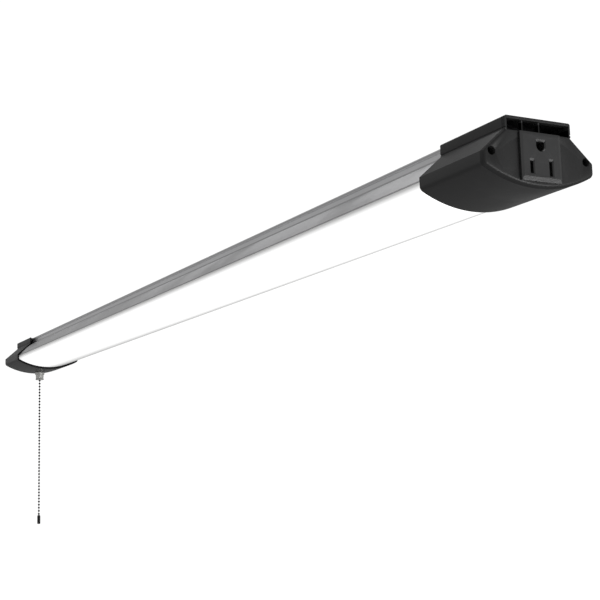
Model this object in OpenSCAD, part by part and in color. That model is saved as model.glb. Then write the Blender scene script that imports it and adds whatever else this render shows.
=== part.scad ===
/* [Overall] */
// Length of the light between the end faces of its two caps
length = 1000; // [600:10:1400]
// Width of the caps
cap_w = 74; // [72:0.2:90]
// Height of the caps, top plane to belly
cap_h = 37.7; // [36:0.1:46]
// Width of the box on top of a cap
box_w = 43.8; // [40:0.1:50]
// Height of the box on top of a cap
box_h = 7.5; // [6:0.1:9]
// Depth at which the sloped shoulders of a cap end
shoulder_z = 20.8; // [18:0.1:21.4]
// Radius of the curved belly of a cap
belly_r = 75.4; // [60:0.2:120]
// Radius between the side and the belly of a cap
corner_r = 3.4; // [3.1:0.1:5]
// Rounding round the end face of a cap
edge_r = 2; // [0.5:0.1:2.5]

/* [End caps] */
// Length of the cap with the outlet
outlet_cap_len = 60.5; // [52:0.5:90]
// Length of the cap with the pull switch
switch_cap_len = 60.5; // [56:0.5:90]
// Skin of the lower chamber of a cap
cap_wall = 2.2; // [1.6:0.1:2.6]
// Side wall of the box
box_wall = 1.2; // [0.8:0.1:2]
// Top wall of the box
top_wall = 1.6; // [1.2:0.1:2]
// Rounding of the long edges of the box
box_r = 1.1; // [0.4:0.1:1.5]
// Depth of the deck under the box
deck_z = 7.9; // [7.6:0.1:8.4]
// Thickness of the deck
deck_t = 1.5; // [1:0.1:2]
// Thickness of the end wall
end_wall = 2.4; // [2:0.1:3]
// How deep the housing seats in a cap
seat_depth = 7; // [4:0.5:12]
// Thickness of the stop that the housing seats against
stop_t = 2; // [1.5:0.1:3]
// Inset of the opening in the stop from the outside of the cap
stop_inset = 3; // [2.6:0.1:3]
// Gap between the housing and its seat
seat_gap = 0.2; // [0.1:0.05:0.4]
// Distance between the two hanging holes
hang_spacing = 940; // [540:10:1340]
// Radius of a hanging hole
hang_r = 3; // [2:0.1:4]
// Height of the groove along the foot of the box
groove_h = 0.6; // [0.3:0.1:1]
// Depth of that groove
groove_t = 0.4; // [0.2:0.1:0.6]

/* [Cap screws] */
// Distance of a cap screw from the middle plane
screw_y = 31.6; // [31:0.1:32.4]
// Depth of a cap screw below the top plane
screw_z = 20.6; // [20.2:0.1:21.4]
// Radius of the deep hole for a screw head
screw_well_r = 2.45; // [2.35:0.05:2.6]
// Radius of the boss round that hole
screw_boss_r = 3.3; // [3.2:0.1:3.8]
// Web that the screw head clamps
screw_web = 3; // [2:0.2:5]
// Radius of a screw head
screw_head_r = 2.25; // [2:0.05:2.3]
// Height of a screw head
screw_head_h = 1.8; // [1:0.1:2.5]
// Radius of a screw shank
screw_shank_r = 1; // [0.8:0.05:1]
// Depth that a cap screw reaches into the housing
screw_reach = 12; // [6:1:20]

/* [Housing] */
// Drop of the housing's roof below the top plane
roof_drop = 0.3; // [0.2:0.1:1]
// Width of the channel on top of the housing
channel_w = 35; // [30:0.5:38]
// Depth of the foot of the channel
channel_z = 6.6; // [5:0.1:7]
// Height of the lip along the top of the channel
lip_h = 2.3; // [1:0.1:3]
// How far the lip stands proud of the channel wall
lip_t = 0.6; // [0.2:0.1:1]
// Width of the housing at its lower edges
housing_w = 71.2; // [70:0.1:71.6]
// Depth of the housing's lower edges
housing_z = 22.4; // [22:0.1:23]
// Radius of the curved shoulders of the housing
shoulder_r = 60; // [50:1:90]
// Wall of the housing
housing_wall = 1.2; // [0.9:0.1:1.4]
// Depth of the top of the LED deck inside the housing
led_deck_z = 19.2; // [18.6:0.1:19.6]
// Thickness of the LED deck
led_deck_t = 1.2; // [1:0.1:1.6]
// Width of the rail that takes the screws and hooks the diffuser
rail_w = 5.9; // [5:0.1:7]
// Radius of the screw channels in the rails
port_r = 1.05; // [0.9:0.05:1.2]
// Radius of the metal round a screw channel
port_wall_r = 2.3; // [2:0.1:2.6]
// Width of the groove for the hooks of the diffuser
hook_groove_w = 2; // [1.6:0.1:2.4]
// Width of the rib beside that groove
hook_rib_w = 1.2; // [0.8:0.1:1.6]

/* [Diffuser] */
// Width of the diffuser
diffuser_w = 70; // [68:0.1:70.6]
// Depth of the middle of the diffuser
diffuser_z = 35.1; // [34:0.1:36]
// Radius of its curved face
diffuser_r = 73; // [60:0.5:110]
// Thickness of the diffuser
diffuser_t = 1.3; // [1:0.1:1.6]
// Rounding between its side and its curved face
diffuser_corner_r = 2.2; // [1.8:0.1:3]
// Thickness of the hook on its edges
hook_t = 1; // [0.6:0.1:1.2]
// Height of that hook
hook_h = 1.6; // [1:0.1:1.8]

/* [LED boards] */
// Number of boards in a row
board_count = 3; // [1:1:5]
// Width of a board
board_w = 40; // [30:1:50]
// Thickness of a board
board_t = 1.6; // [1:0.1:1.6]
// Gap between two boards
board_gap = 4; // [2:0.5:8]
// LEDs along each row of one board
chips_per_board = 16; // [8:1:24]
// Distance between the two rows of LEDs
chip_rows_apart = 22; // [14:1:30]
// Length and width of one LED
chip_w = 3; // [2:0.1:4]
// Height of one LED
chip_h = 0.8; // [0.5:0.1:1.2]
// Head radius of a board screw
board_screw_head_r = 2.6; // [2:0.1:3]
// Head height of a board screw
board_screw_head_h = 1.4; // [1:0.1:2]
// Shank radius of a board screw
board_screw_r = 1.2; // [1:0.05:1.4]

/* [Driver] */
// Length of the driver
driver_len = 220; // [160:5:300]
// Width of the driver
driver_w = 29; // [26:0.5:30]
// Height of the driver
driver_h = 15; // [12:0.5:15.5]
// Sheet of the driver case
driver_sheet = 0.8; // [0.6:0.1:1]
// Distance of the driver from the switch end of the housing
driver_in = 60; // [30:5:120]

/* [Outlet] */
// Width of the raised face
face_w = 26.8; // [26.2:0.2:32]
// Depth of the top of the raised face
face_top_z = 8; // [8:0.1:8.6]
// Depth of the bottom of the raised face
face_bottom_z = 34.9; // [33:0.1:35]
// Width of the bevel along the sides and top of the raised face
face_bevel = 1.5; // [1:0.1:2]
// Height of the bevel along its foot
face_foot_bevel = 2.4; // [1.5:0.1:3]
// How deep both bevels are
face_bevel_depth = 0.45; // [0.3:0.05:0.8]
// How far the raised face stands proud
face_proud = 1.6; // [1:0.1:3]
// Distance between the blade slots
blade_spacing = 12.7; // [12.7:0.1:12.8]
// Depth of the middle of the blade slots
blade_z = 27.1; // [26.4:0.1:27.4]
// Distance from the blade slots up to the ground hole
ground_rise = 11.9; // [11.8:0.1:12]
// Width of a blade slot
blade_slot_w = 2.0; // [2:0.1:2.4]
// Height of the hot blade slot
hot_slot_h = 6.6; // [6.5:0.1:7]
// Height of the neutral blade slot
neutral_slot_h = 8.0; // [8:0.1:8.6]
// Radius of the ground hole
ground_r = 2.7; // [2.5:0.05:2.8]
// Height of its flat top above its middle
ground_flat_h = 2.4; // [2.1:0.1:2.5]
// Bevel at the sides and foot of each opening
slot_bevel = 0.6; // [0.4:0.1:0.8]
// Bevel over each opening
slot_brow = 1.1; // [0.6:0.1:1.3]
// Depth of the outlet's rear body
base_len = 20; // [18:0.5:24]
// Width of the outlet's rear body
base_w = 25.6; // [24:0.2:26]
// Height of the latch arms above the raised face
arm_h = 5.6; // [3:0.1:5.8]
// Width of a latch arm
arm_w = 0.8; // [0.8:0.1:2]

/* [Cord entry] */
// Distance of the cord bushing from the middle plane
cord_y = 18; // [15:0.5:20]
// Depth of the cord bushing
cord_z = 21.5; // [20:0.5:24]
// Radius of the cord hole in the bushing
cord_r = 4; // [3:0.1:4.5]
// Radius of the bushing's flange
cord_flange_r = 7.5; // [7:0.1:8.5]
// Wall of the bushing
cord_bush_wall = 1.5; // [1:0.1:2]

/* [Pull switch] */
// Distance of the chain from the end face of its cap
chain_in = 24; // [18.5:0.5:26]
// Length of the switch case
switch_len = 34; // [33:0.5:38]
// Width of the switch case without its lid
switch_w = 18; // [17:0.5:20]
// Depth of the top of the switch case
switch_top_z = 11.4; // [10.6:0.1:11.6]
// Depth of the bottom of the switch case
switch_bottom_z = 34.7; // [34:0.1:34.8]
// Wall of the switch case
switch_wall = 1.2; // [1:0.1:1.4]
// How far the chain is pulled
pull_travel = 8; // [4:0.5:8]
// Distance from the lever's pin to the chain
lever_arm = 13; // [12:0.5:14]
// Depth of the lever's pin
lever_z = 21; // [20.5:0.1:21.5]
// Thickness of the lever
lever_t = 1; // [0.6:0.1:1.2]
// Radius of the pins in the switch
pin_r = 1; // [0.8:0.05:1.2]
// Running gap round those pins
pin_gap = 0.05; // [0.02:0.01:0.1]
// Radius of the contact rotor
rotor_r = 4; // [3.5:0.1:4.2]
// Number of ratchet teeth
rotor_teeth = 8; // [6:1:12]

/* [Neck and bell mouth] */
// Outside radius of the threaded neck
neck_r = 4; // [3.4:0.1:4.4]
// Radius of the passage for the chain
neck_bore_r = 2.3; // [2:0.1:2.6]
// Radius of the lock nut
nut_r = 5.8; // [5.2:0.1:7]
// Height of the lock nut
nut_h = 3.5; // [2.5:0.1:5]
// Radius of the bell mouth at its lip
bell_r = 5; // [4.8:0.1:6]
// Radius of the waist of the bell mouth
bell_waist_r = 4.6; // [4.5:0.05:4.9]
// Height of the bell mouth
bell_h = 6.2; // [5:0.1:9]

/* [Pull chain] */
// Radius of a ball
ball_r = 1.2; // [1.15:0.05:1.3]
// Distance from ball to ball
ball_pitch = 3.68; // [3.6:0.02:3.8]
// Wall of a ball
ball_wall = 0.19; // [0.17:0.01:0.2]
// Radius of the wire of a link
link_r = 0.26; // [0.22:0.01:0.27]
// Radius of the heads of a link
link_head_r = 0.54; // [0.53:0.01:0.55]
// Radius of the holes of a ball at the inside
ball_hole_r = 0.43; // [0.42:0.01:0.44]
// Balls between the lever and the mouth
top_balls = 9; // [9:1:9]
// Balls that hang below the swivel ball
hanging_balls = 43; // [10:1:80]
// Radius of the turned end piece
end_piece_r = 1.85; // [1.7:0.05:3]
// Length of the turned end piece
end_piece_len = 10.6; // [6:0.2:20]

/* [Hidden] */
$fn = 48;

// Every cut runs past its face by this much
over = 1;
// Thickness of the slices that the rounded end of a cap is drawn over
sliver = 0.04;
// Slices over the rounded end, steps over a corner and over half the belly
end_steps = 5;
corner_steps = 6;
belly_steps = 16;
// Gap between parts that are slid together
slip = 0.15;

half_len = length / 2;
seat_face_outlet = half_len - outlet_cap_len + seat_depth;
seat_face_switch = -half_len + switch_cap_len - seat_depth;

// Slope of a cap's shoulder: its outward normal and its distance from the origin
slope_dy = cap_w / 2 - box_w / 2;
slope_dz = shoulder_z - box_h;
slope_len = sqrt(slope_dy * slope_dy + slope_dz * slope_dz);
slope_ny = slope_dz / slope_len;
slope_nz = slope_dy / slope_len;
slope_d = box_w / 2 * slope_ny - box_h * slope_nz;
belly_cz = belly_r - cap_h;
chamber_top = deck_z + deck_t;

// Places along the chain
chain_x = -half_len + chain_in;
pivot_x = chain_x + lever_arm;
lever_rest = asin(pull_travel / 2 / lever_arm);
lever_hold_z = lever_z - pull_travel / 2;
first_ball_z = lever_hold_z + lever_t + ball_r;
ball_in_r = ball_r - ball_wall;
hole_plane = sqrt(ball_in_r * ball_in_r - ball_hole_r * ball_hole_r);
head_seat = sqrt(link_head_r * link_head_r - ball_hole_r * ball_hole_r);
// Running gap between a link's head and its ball
head_gap = 0.03;
head_off = hole_plane - head_seat - head_gap;
swivel_top_z = first_ball_z + (top_balls - 1) * ball_pitch;
swivel_bead_z = swivel_top_z + ball_pitch;
hang_first_z = swivel_bead_z + ball_pitch;
last_ball_z = hang_first_z + (hanging_balls - 1) * ball_pitch;

echo(lever_rest = lever_rest);
echo(head_off = head_off);
echo(swivel_top_z = swivel_top_z);
echo(last_ball_z = last_ball_z);
echo(chain_x = chain_x);

// Points on an arc about [cy, cz]
function arc(cy, cz, r, a0, a1, steps) =
    [for (i = [0:steps]) let (a = a0 + (a1 - a0) * i / steps) [cy + r * cos(a), cz + r * sin(a)]];

// Right half of the outline of a cap, inset by i and cut off level at depth top
function cap_half(i, top) =
    let (hw = cap_w / 2 - i)
    let (cr = corner_r - i)
    let (br = belly_r - i)
    let (cy = hw - cr)
    let (cz = belly_cz - sqrt((br - cr) * (br - cr) - cy * cy))
    let (turn = atan2(cz - belly_cz, cy))
    concat(
        [[(slope_d - i + top * slope_nz) / slope_ny, -top]],
        [[hw, (slope_d - i - hw * slope_ny) / slope_nz]],
        arc(cy, cz, cr, 0, turn, corner_steps),
        arc(0, belly_cz, br, turn, -90, belly_steps)
    );

function mirrored(points) =
    concat(points, [for (k = [len(points) - 2:-1:0]) [-points[k][0], points[k][1]]]);

// Extrudes an outline drawn in Y and Z along X
module along_x(x0, x1) {
    translate([x0, 0, 0]) rotate([90, 0, 90]) linear_extrude(height = x1 - x0) children();
}

module rod_x(x0, x1, r) {
    translate([x0, 0, 0]) rotate([0, 90, 0]) cylinder(r = r, h = x1 - x0);
}

module rod_y(y0, y1, r) {
    translate([0, y0, 0]) rotate([-90, 0, 0]) cylinder(r = r, h = y1 - y0);
}

module block(x0, x1, y0, y1, z0, z1) {
    translate([x0, y0, z0]) cube([x1 - x0, y1 - y0, z1 - z0]);
}

module both_sides() {
    children();
    mirror([0, 1, 0]) children();
}

// Puts a cap drawn from its inner face at x = 0 at the outlet end or the switch end
module at_outlet_end() {
    translate([half_len - outlet_cap_len, 0, 0]) children();
}

module at_switch_end() {
    mirror([1, 0, 0]) translate([half_len - switch_cap_len, 0, 0]) children();
}

// Outline of the housing with a gap g round it
shoulder_foot_y = channel_w / 2 - lip_t;
shoulder_chord_y = housing_w / 2 - shoulder_foot_y;
shoulder_chord_z = housing_z - channel_z;
shoulder_chord = sqrt(shoulder_chord_y * shoulder_chord_y + shoulder_chord_z * shoulder_chord_z);
shoulder_back = sqrt(shoulder_r * shoulder_r - shoulder_chord * shoulder_chord / 4);
shoulder_cy = (housing_w / 2 + shoulder_foot_y) / 2 - shoulder_chord_z / shoulder_chord * shoulder_back;
shoulder_cz = -(housing_z + channel_z) / 2 - shoulder_chord_y / shoulder_chord * shoulder_back;

module shoulders(g) {
    intersection() {
        translate([shoulder_cy, shoulder_cz]) circle(r = shoulder_r + g, $fn = 180);
        translate([-shoulder_cy, shoulder_cz]) circle(r = shoulder_r + g, $fn = 180);
        translate([-housing_w / 2 - g, -housing_z - g])
            square([housing_w + 2 * g, housing_z - roof_drop]);
    }
}

module channel(w, g, top, bottom) {
    translate([-w / 2 - g, -bottom]) square([w + 2 * g, bottom - top + g]);
}

module housing_outline(g) {
    shoulders(g);
    channel(channel_w, g, roof_drop, roof_drop + lip_h + g);
    channel(2 * shoulder_foot_y, g, roof_drop, channel_z + housing_wall);
}

diffuser_cz = diffuser_r - diffuser_z;

// Curved body of the diffuser, inset by i
module lens_outline(i) {
    hw = diffuser_w / 2 - i;
    cr = diffuser_corner_r - i;
    r = diffuser_r - i;
    cy = hw - cr;
    cz = diffuser_cz - sqrt((r - cr) * (r - cr) - cy * cy);
    turn = atan2(cz - diffuser_cz, cy);
    half = concat(
        [[hw, -housing_z - i]],
        arc(cy, cz, cr, 0, turn, corner_steps),
        arc(0, diffuser_cz, r, turn, -90, belly_steps)
    );
    polygon(mirrored(half));
}

module seat_outline() {
    housing_outline(seat_gap);
    translate([0, -seat_gap]) lens_outline(-seat_gap);
}

// Box on top of a cap, with its long edges rounded and its foot sunk in the body
box_foot = 0.2;

module box_outline() {
    foot_z = -deck_z - box_foot;
    translate([-box_w / 2, foot_z]) square([box_w, -foot_z - box_r]);
    translate([-box_w / 2 + box_r, foot_z]) square([box_w - 2 * box_r, -foot_z]);
    translate([box_w / 2 - box_r, -box_r]) circle(r = box_r);
    translate([-box_w / 2 + box_r, -box_r]) circle(r = box_r);
}

// Lower body of a cap, rounded round its end face
module cap_body(cap_len) {
    hull() {
        along_x(0, sliver) polygon(mirrored(cap_half(0, box_h)));
        for (k = [0:end_steps]) {
            a = 90 * k / end_steps;
            x = cap_len - edge_r + edge_r * sin(a);
            along_x(x - sliver, x) polygon(mirrored(cap_half(edge_r * (1 - cos(a)), box_h)));
        }
    }
}

// Cap shell, from its inner face at x = 0 to its end face at x = cap_len
module cap_shell(cap_len) {
    inside = box_w / 2 - box_wall;
    difference() {
        union() {
            cap_body(cap_len);
            along_x(0, cap_len) box_outline();
        }
        // Groove along the foot of the box
        both_sides()
            along_x(-over, cap_len + over)
                translate([box_w / 2 - groove_t, -box_h + groove_h]) square([over, groove_h]);
        // Pocket in the box, open at the end face
        block(seat_depth + stop_t, cap_len + over, -inside, inside, -deck_z, -top_wall);
        // Relief over the channel of the housing
        block(-over, seat_depth, -inside, inside, -box_h, over);
        // Seat of the housing and the diffuser
        along_x(-over, seat_depth) seat_outline();
        // Way through the stop
        along_x(seat_depth - over, seat_depth + stop_t + over) polygon(mirrored(cap_half(stop_inset, chamber_top)));
        // Lower chamber
        along_x(seat_depth + stop_t, cap_len - end_wall) polygon(mirrored(cap_half(cap_wall, chamber_top)));
        // Hanging hole
        translate([hang_spacing / 2 - half_len + cap_len, 0, -top_wall - over])
            cylinder(r = hang_r, h = top_wall + 2 * over);
    }
}

// Bosses of the two cap screws
module screw_bosses(cap_len) {
    both_sides() translate([0, screw_y, -screw_z]) rod_x(seat_depth, cap_len - end_wall / 2, screw_boss_r);
}

module screw_wells(cap_len) {
    both_sides() translate([0, screw_y, -screw_z]) {
        rod_x(seat_depth + screw_web, cap_len + over, screw_well_r);
        rod_x(seat_depth - over, seat_depth + screw_web + over, screw_shank_r + slip);
    }
}

module cap_screws() {
    both_sides() translate([0, screw_y, -screw_z]) {
        rod_x(seat_depth - screw_reach, seat_depth + screw_web + screw_head_h / 2, screw_shank_r);
        difference() {
            rod_x(seat_depth + screw_web, seat_depth + screw_web + screw_head_h, screw_head_r);
            cross_recess(seat_depth + screw_web + screw_head_h);
        }
    }
}

// Cross recess in a screw head that ends at x
recess_w = 0.7;
recess_len = 2.6;
recess_t = 0.9;

module cross_recess(x) {
    block(x - recess_t, x + over, -recess_w / 2, recess_w / 2, -recess_len / 2, recess_len / 2);
    block(x - recess_t, x + over, -recess_len / 2, recess_len / 2, -recess_w / 2, recess_w / 2);
}

// Steel plate under the hanging hole, between the side walls of the box
plate_t = 1.2;
plate_len = 32;
plate_screw_off = 11;
plate_screw_r = 1.2;
plate_screw_head_r = 2.2;
plate_screw_head_h = 0.9;
plate_w = box_w - 2 * box_wall - 2 * slip;

module hanger_plate() {
    difference() {
        block(hang_spacing / 2 - plate_len / 2, hang_spacing / 2 + plate_len / 2,
            -plate_w / 2, plate_w / 2, -top_wall - plate_t, -top_wall);
        translate([hang_spacing / 2, 0, -top_wall - plate_t - over])
            cylinder(r = hang_r, h = plate_t + 2 * over);
        for (s = [-1, 1])
            translate([hang_spacing / 2 + s * plate_screw_off, 0, -top_wall - plate_t - over])
                cylinder(r = plate_screw_r, h = plate_t + 2 * over);
    }
}

// Screws that hold a hanger plate, driven up into the top wall
module plate_screws() {
    for (s = [-1, 1])
        translate([hang_spacing / 2 + s * plate_screw_off, 0, 0]) {
            translate([0, 0, -top_wall - plate_t]) cylinder(r = plate_screw_r, h = plate_t + top_wall / 2);
            translate([0, 0, -top_wall - plate_t - plate_screw_head_h])
                cylinder(r = plate_screw_head_r, h = plate_screw_head_h);
        }
}

module plate_screw_holes(cap_len) {
    for (s = [-1, 1])
        translate([hang_spacing / 2 + s * plate_screw_off - half_len + cap_len, 0, -top_wall - over])
            cylinder(r = plate_screw_r, h = over + top_wall / 2);
}

// Window of the outlet in the end wall
window_w = 24.6;
window_top_z = 10.2;
window_bottom_z = 33.2;

module outlet_cap() {
    color([0.17, 0.17, 0.18])
        at_outlet_end()
            difference() {
                union() {
                    cap_shell(outlet_cap_len);
                    screw_bosses(outlet_cap_len);
                }
                screw_wells(outlet_cap_len);
                plate_screw_holes(outlet_cap_len);
                block(outlet_cap_len - end_wall - over, outlet_cap_len + over,
                    -window_w / 2, window_w / 2, -window_bottom_z, -window_top_z);
            }
}

module switch_cap() {
    color([0.17, 0.17, 0.18])
        difference() {
            at_switch_end()
                difference() {
                    union() {
                        cap_shell(switch_cap_len);
                        screw_bosses(switch_cap_len);
                    }
                    screw_wells(switch_cap_len);
                    plate_screw_holes(switch_cap_len);
                }
            // Hole for the neck of the pull switch
            translate([chain_x, 0, -cap_h - over]) cylinder(r = neck_r + slip, h = cap_wall + 3 * over);
            // Hole for the cord bushing
            translate([-half_len, cord_y, -cord_z])
                rod_x(-over, end_wall + over, cord_r + cord_bush_wall + slip);
        }
}

module outlet_cap_screws() {
    color([0.3, 0.3, 0.32]) at_outlet_end() cap_screws();
}

module switch_cap_screws() {
    color([0.3, 0.3, 0.32]) at_switch_end() cap_screws();
}

module outlet_hanger_plate() {
    color([0.7, 0.72, 0.74]) hanger_plate();
}

module switch_hanger_plate() {
    color([0.7, 0.72, 0.74]) mirror([1, 0, 0]) hanger_plate();
}

module hanger_screws() {
    color([0.75, 0.75, 0.77]) {
        plate_screws();
        mirror([1, 0, 0]) plate_screws();
    }
}

// Housing: one extrusion with a chamber over the LED deck and a tray under it
led_bottom = led_deck_z + led_deck_t;
groove_y0 = housing_w / 2 - rail_w - hook_groove_w;

module upper_chamber() {
    intersection() {
        shoulders(-housing_wall);
        translate([-housing_w / 2, -led_deck_z]) square([housing_w, led_deck_z - channel_z]);
        translate([-housing_w / 2 + rail_w, -led_deck_z]) square([housing_w - 2 * rail_w, led_deck_z]);
    }
    channel(2 * shoulder_foot_y - 2 * housing_wall, 0, roof_drop + housing_wall, channel_z + 2 * housing_wall);
}

module led_tray() {
    translate([-groove_y0 + hook_rib_w, -housing_z - over])
        square([2 * groove_y0 - 2 * hook_rib_w, housing_z + over - led_bottom]);
    both_sides_2d() translate([groove_y0, -housing_z - over])
        square([hook_groove_w, housing_z + over - led_bottom]);
}

module both_sides_2d() {
    children();
    mirror([1, 0]) children();
}

module housing_section() {
    difference() {
        housing_outline(0);
        difference() {
            upper_chamber();
            both_sides_2d() translate([screw_y, -screw_z]) circle(r = port_wall_r);
        }
        led_tray();
        both_sides_2d() translate([screw_y, -screw_z]) circle(r = port_r);
    }
}

module housing() {
    color([0.62, 0.63, 0.65])
        difference() {
            along_x(seat_face_switch, seat_face_outlet) housing_section();
            for (x = board_screw_places())
                translate([x, 0, -led_bottom - over]) cylinder(r = board_screw_r + pin_gap, h = led_deck_t + 2 * over);
            for (x = driver_screw_places())
                translate([x, 0, -led_bottom - over]) cylinder(r = driver_screw_r + pin_gap, h = led_deck_t + 2 * over);
            translate([ground_screw_x, ground_screw_y, -led_bottom - over])
                cylinder(r = ground_screw_r + pin_gap, h = led_deck_t + 2 * over);
        }
}

// Diffuser: a curved lens whose edges turn in under the rails and hook up beside them
module diffuser() {
    hook_y = groove_y0 + (hook_groove_w - hook_t) / 2;
    color([0.97, 0.97, 0.95])
        along_x(seat_face_switch, seat_face_outlet) {
            difference() {
                translate([0, -slip]) lens_outline(0);
                translate([0, -slip]) lens_outline(diffuser_t);
                translate([-hook_y, -housing_z - slip - diffuser_t - over]) square([2 * hook_y, diffuser_t + 2 * over]);
            }
            both_sides_2d() translate([hook_y, -housing_z - slip - diffuser_t])
                square([hook_t, diffuser_t + slip + hook_h]);
        }
}

// LED boards in a row under the LED deck
board_zone = 2 * half_len - outlet_cap_len - switch_cap_len - 2 * board_gap;
board_len = (board_zone - (board_count - 1) * board_gap) / board_count;
board_start = -half_len + switch_cap_len + board_gap;
board_screw_in_share = 0.25;

function board_x(i) = board_start + i * (board_len + board_gap);

function board_screw_places() =
    [for (i = [0:board_count - 1], s = [board_screw_in_share, 1 - board_screw_in_share]) board_x(i) + s * board_len];

module led_board(i) {
    color([0.9, 0.92, 0.9])
        difference() {
            block(board_x(i), board_x(i) + board_len, -board_w / 2, board_w / 2, -led_bottom - board_t, -led_bottom);
            for (x = board_screw_places())
                translate([x, 0, -led_bottom - board_t - over])
                    cylinder(r = board_screw_r + pin_gap, h = board_t + 2 * over);
        }
}

module led_chips() {
    pitch = board_len / chips_per_board;
    color([1, 0.9, 0.5])
        for (i = [0:board_count - 1], k = [0:chips_per_board - 1], s = [-1, 1])
            translate([board_x(i) + pitch * (k + 0.5), s * chip_rows_apart / 2, -led_bottom - board_t - chip_h])
                translate([-chip_w / 2, -chip_w / 2, 0]) cube([chip_w, chip_w, chip_h]);
}

module board_screws() {
    color([0.75, 0.75, 0.77])
        for (x = board_screw_places())
            translate([x, 0, -led_bottom - board_t]) {
                cylinder(r = board_screw_r, h = board_t + led_deck_t);
                translate([0, 0, -board_screw_head_h]) cylinder(r = board_screw_head_r, h = board_screw_head_h);
            }
}

// Plug-in bridges from one board to the next
jumper_len = 12;
jumper_w = 6;
jumper_h = 1.8;

module board_jumpers() {
    color([0.95, 0.95, 0.95])
        for (i = [1:1:board_count - 1])
            translate([board_x(i) - board_gap / 2 - jumper_len / 2, -jumper_w / 2, -led_bottom - board_t - jumper_h])
                cube([jumper_len, jumper_w, jumper_h]);
}

// LED driver on top of the LED deck
driver_x0 = seat_face_switch + driver_in;
driver_x1 = driver_x0 + driver_len;
driver_ear = 9;
driver_screw_r = 1.2;
driver_screw_head_r = 2.4;
driver_screw_head_h = 1.6;
driver_board_t = 1.6;
driver_board_lift = 2;
driver_lid_side = 3;

function driver_screw_places() = [driver_x0 - driver_ear / 2, driver_x1 + driver_ear / 2];

module driver_case() {
    color([0.82, 0.82, 0.84])
        difference() {
            union() {
                difference() {
                    block(driver_x0, driver_x1, -driver_w / 2, driver_w / 2,
                        -led_deck_z, -led_deck_z + driver_h - driver_sheet);
                    block(driver_x0 + driver_sheet, driver_x1 - driver_sheet,
                        -driver_w / 2 + driver_sheet, driver_w / 2 - driver_sheet,
                        -led_deck_z + driver_sheet, over);
                }
                block(driver_x0 - driver_ear, driver_x1 + driver_ear, -driver_ear / 2, driver_ear / 2,
                    -led_deck_z, -led_deck_z + driver_sheet);
            }
            for (x = driver_screw_places())
                translate([x, 0, -led_deck_z - over]) cylinder(r = driver_screw_r + pin_gap, h = driver_sheet + 2 * over);
            // Ways out for the leads at both ends
            block(driver_x0 - over, driver_x1 + over, driver_w / 4 - driver_lead_w / 2, driver_w / 4 + driver_lead_w / 2,
                -led_deck_z + driver_h / 2, over);
        }
}
driver_lead_w = 5;

module driver_cover() {
    top = -led_deck_z + driver_h;
    color([0.82, 0.82, 0.84]) {
        block(driver_x0, driver_x1, -driver_w / 2 - driver_sheet - slip, driver_w / 2 + driver_sheet + slip,
            top - driver_sheet, top);
        both_sides()
            block(driver_x0, driver_x1, driver_w / 2 + slip, driver_w / 2 + slip + driver_sheet,
                top - driver_sheet - driver_lid_side, top);
    }
}

module driver_board() {
    z = -led_deck_z + driver_sheet;
    inset = 2 * driver_sheet;
    color([0.1, 0.4, 0.2]) {
        block(driver_x0 + inset, driver_x1 - inset, -driver_w / 2 + inset, driver_w / 2 - inset,
            z + driver_board_lift, z + driver_board_lift + driver_board_t);
        for (sx = [driver_x0 + 3 * inset, driver_x1 - 3 * inset], sy = [-1, 1])
            translate([sx, sy * (driver_w / 2 - 2 * inset), z]) cylinder(r = driver_board_t, h = driver_board_lift);
    }
}

driver_parts_z = -led_deck_z + driver_sheet + driver_board_lift + driver_board_t;
transformer_w = 16;
transformer_h = 9;
transformer_share = 0.42;
winding_w = 11;

module driver_transformer() {
    x = driver_x0 + transformer_share * driver_len;
    color([0.25, 0.22, 0.2]) {
        block(x - transformer_w / 2, x + transformer_w / 2, -winding_w / 2, winding_w / 2,
            driver_parts_z, driver_parts_z + transformer_h);
        block(x - winding_w / 2, x + winding_w / 2, -transformer_w / 2, transformer_w / 2,
            driver_parts_z, driver_parts_z + transformer_h * 2 / 3);
    }
}

cap_can_r = 4;
cap_can_len = 16;
cap_can_shares = [0.14, 0.26, 0.62, 0.72];

module driver_capacitors() {
    color([0.15, 0.15, 0.3])
        for (s = cap_can_shares)
            translate([driver_x0 + s * driver_len, 0, driver_parts_z + cap_can_r])
                rod_y(-cap_can_len / 2, cap_can_len / 2, cap_can_r);
}

driver_plug_len = 10;
driver_plug_h = 7;

module driver_terminals() {
    color([0.92, 0.92, 0.88])
        for (x = [driver_x0 + 3 * driver_sheet, driver_x1 - 3 * driver_sheet - driver_plug_len])
            block(x, x + driver_plug_len, -driver_w / 4, driver_w / 4, driver_parts_z, driver_parts_z + driver_plug_h);
}

module driver_screws() {
    color([0.75, 0.75, 0.77])
        for (x = driver_screw_places())
            translate([x, 0, -led_deck_z + driver_sheet]) {
                translate([0, 0, -driver_sheet - led_deck_t]) cylinder(r = driver_screw_r, h = driver_sheet + led_deck_t);
                cylinder(r = driver_screw_head_r, h = driver_screw_head_h);
            }
}

// Outlet: x is counted from the end face of its cap
face_seat = half_len;
neck_back = 6;
base_x1 = half_len - neck_back;
base_x0 = base_x1 - base_len;
ground_z = blade_z - ground_rise;
arm_places = [-11.4, -0.2];
arm_back = 1.6;

// Cuts a bevel into the front round an opening from y0 to y1 and z0 to z1, with a brow over it
module front_bevel(y0, y1, z0, z1) {
    x0 = half_len + face_proud - slot_bevel;
    x1 = half_len + face_proud + over;
    side = slot_bevel + over;
    brow = slot_brow * (1 + over / slot_bevel);
    intersection() {
        translate([0, 0, z0 - side])
            linear_extrude(height = z1 - z0 + side + brow)
                polygon([[x0, y0], [x1, y0 - side], [x1, y1 + side], [x0, y1]]);
        translate([0, y1 + side, 0])
            rotate([90, 0, 0])
                linear_extrude(height = y1 - y0 + 2 * side)
                    polygon([[x0, z0], [x1, z0 - side], [x1, z1 + brow], [x0, z1]]);
    }
}

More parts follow.
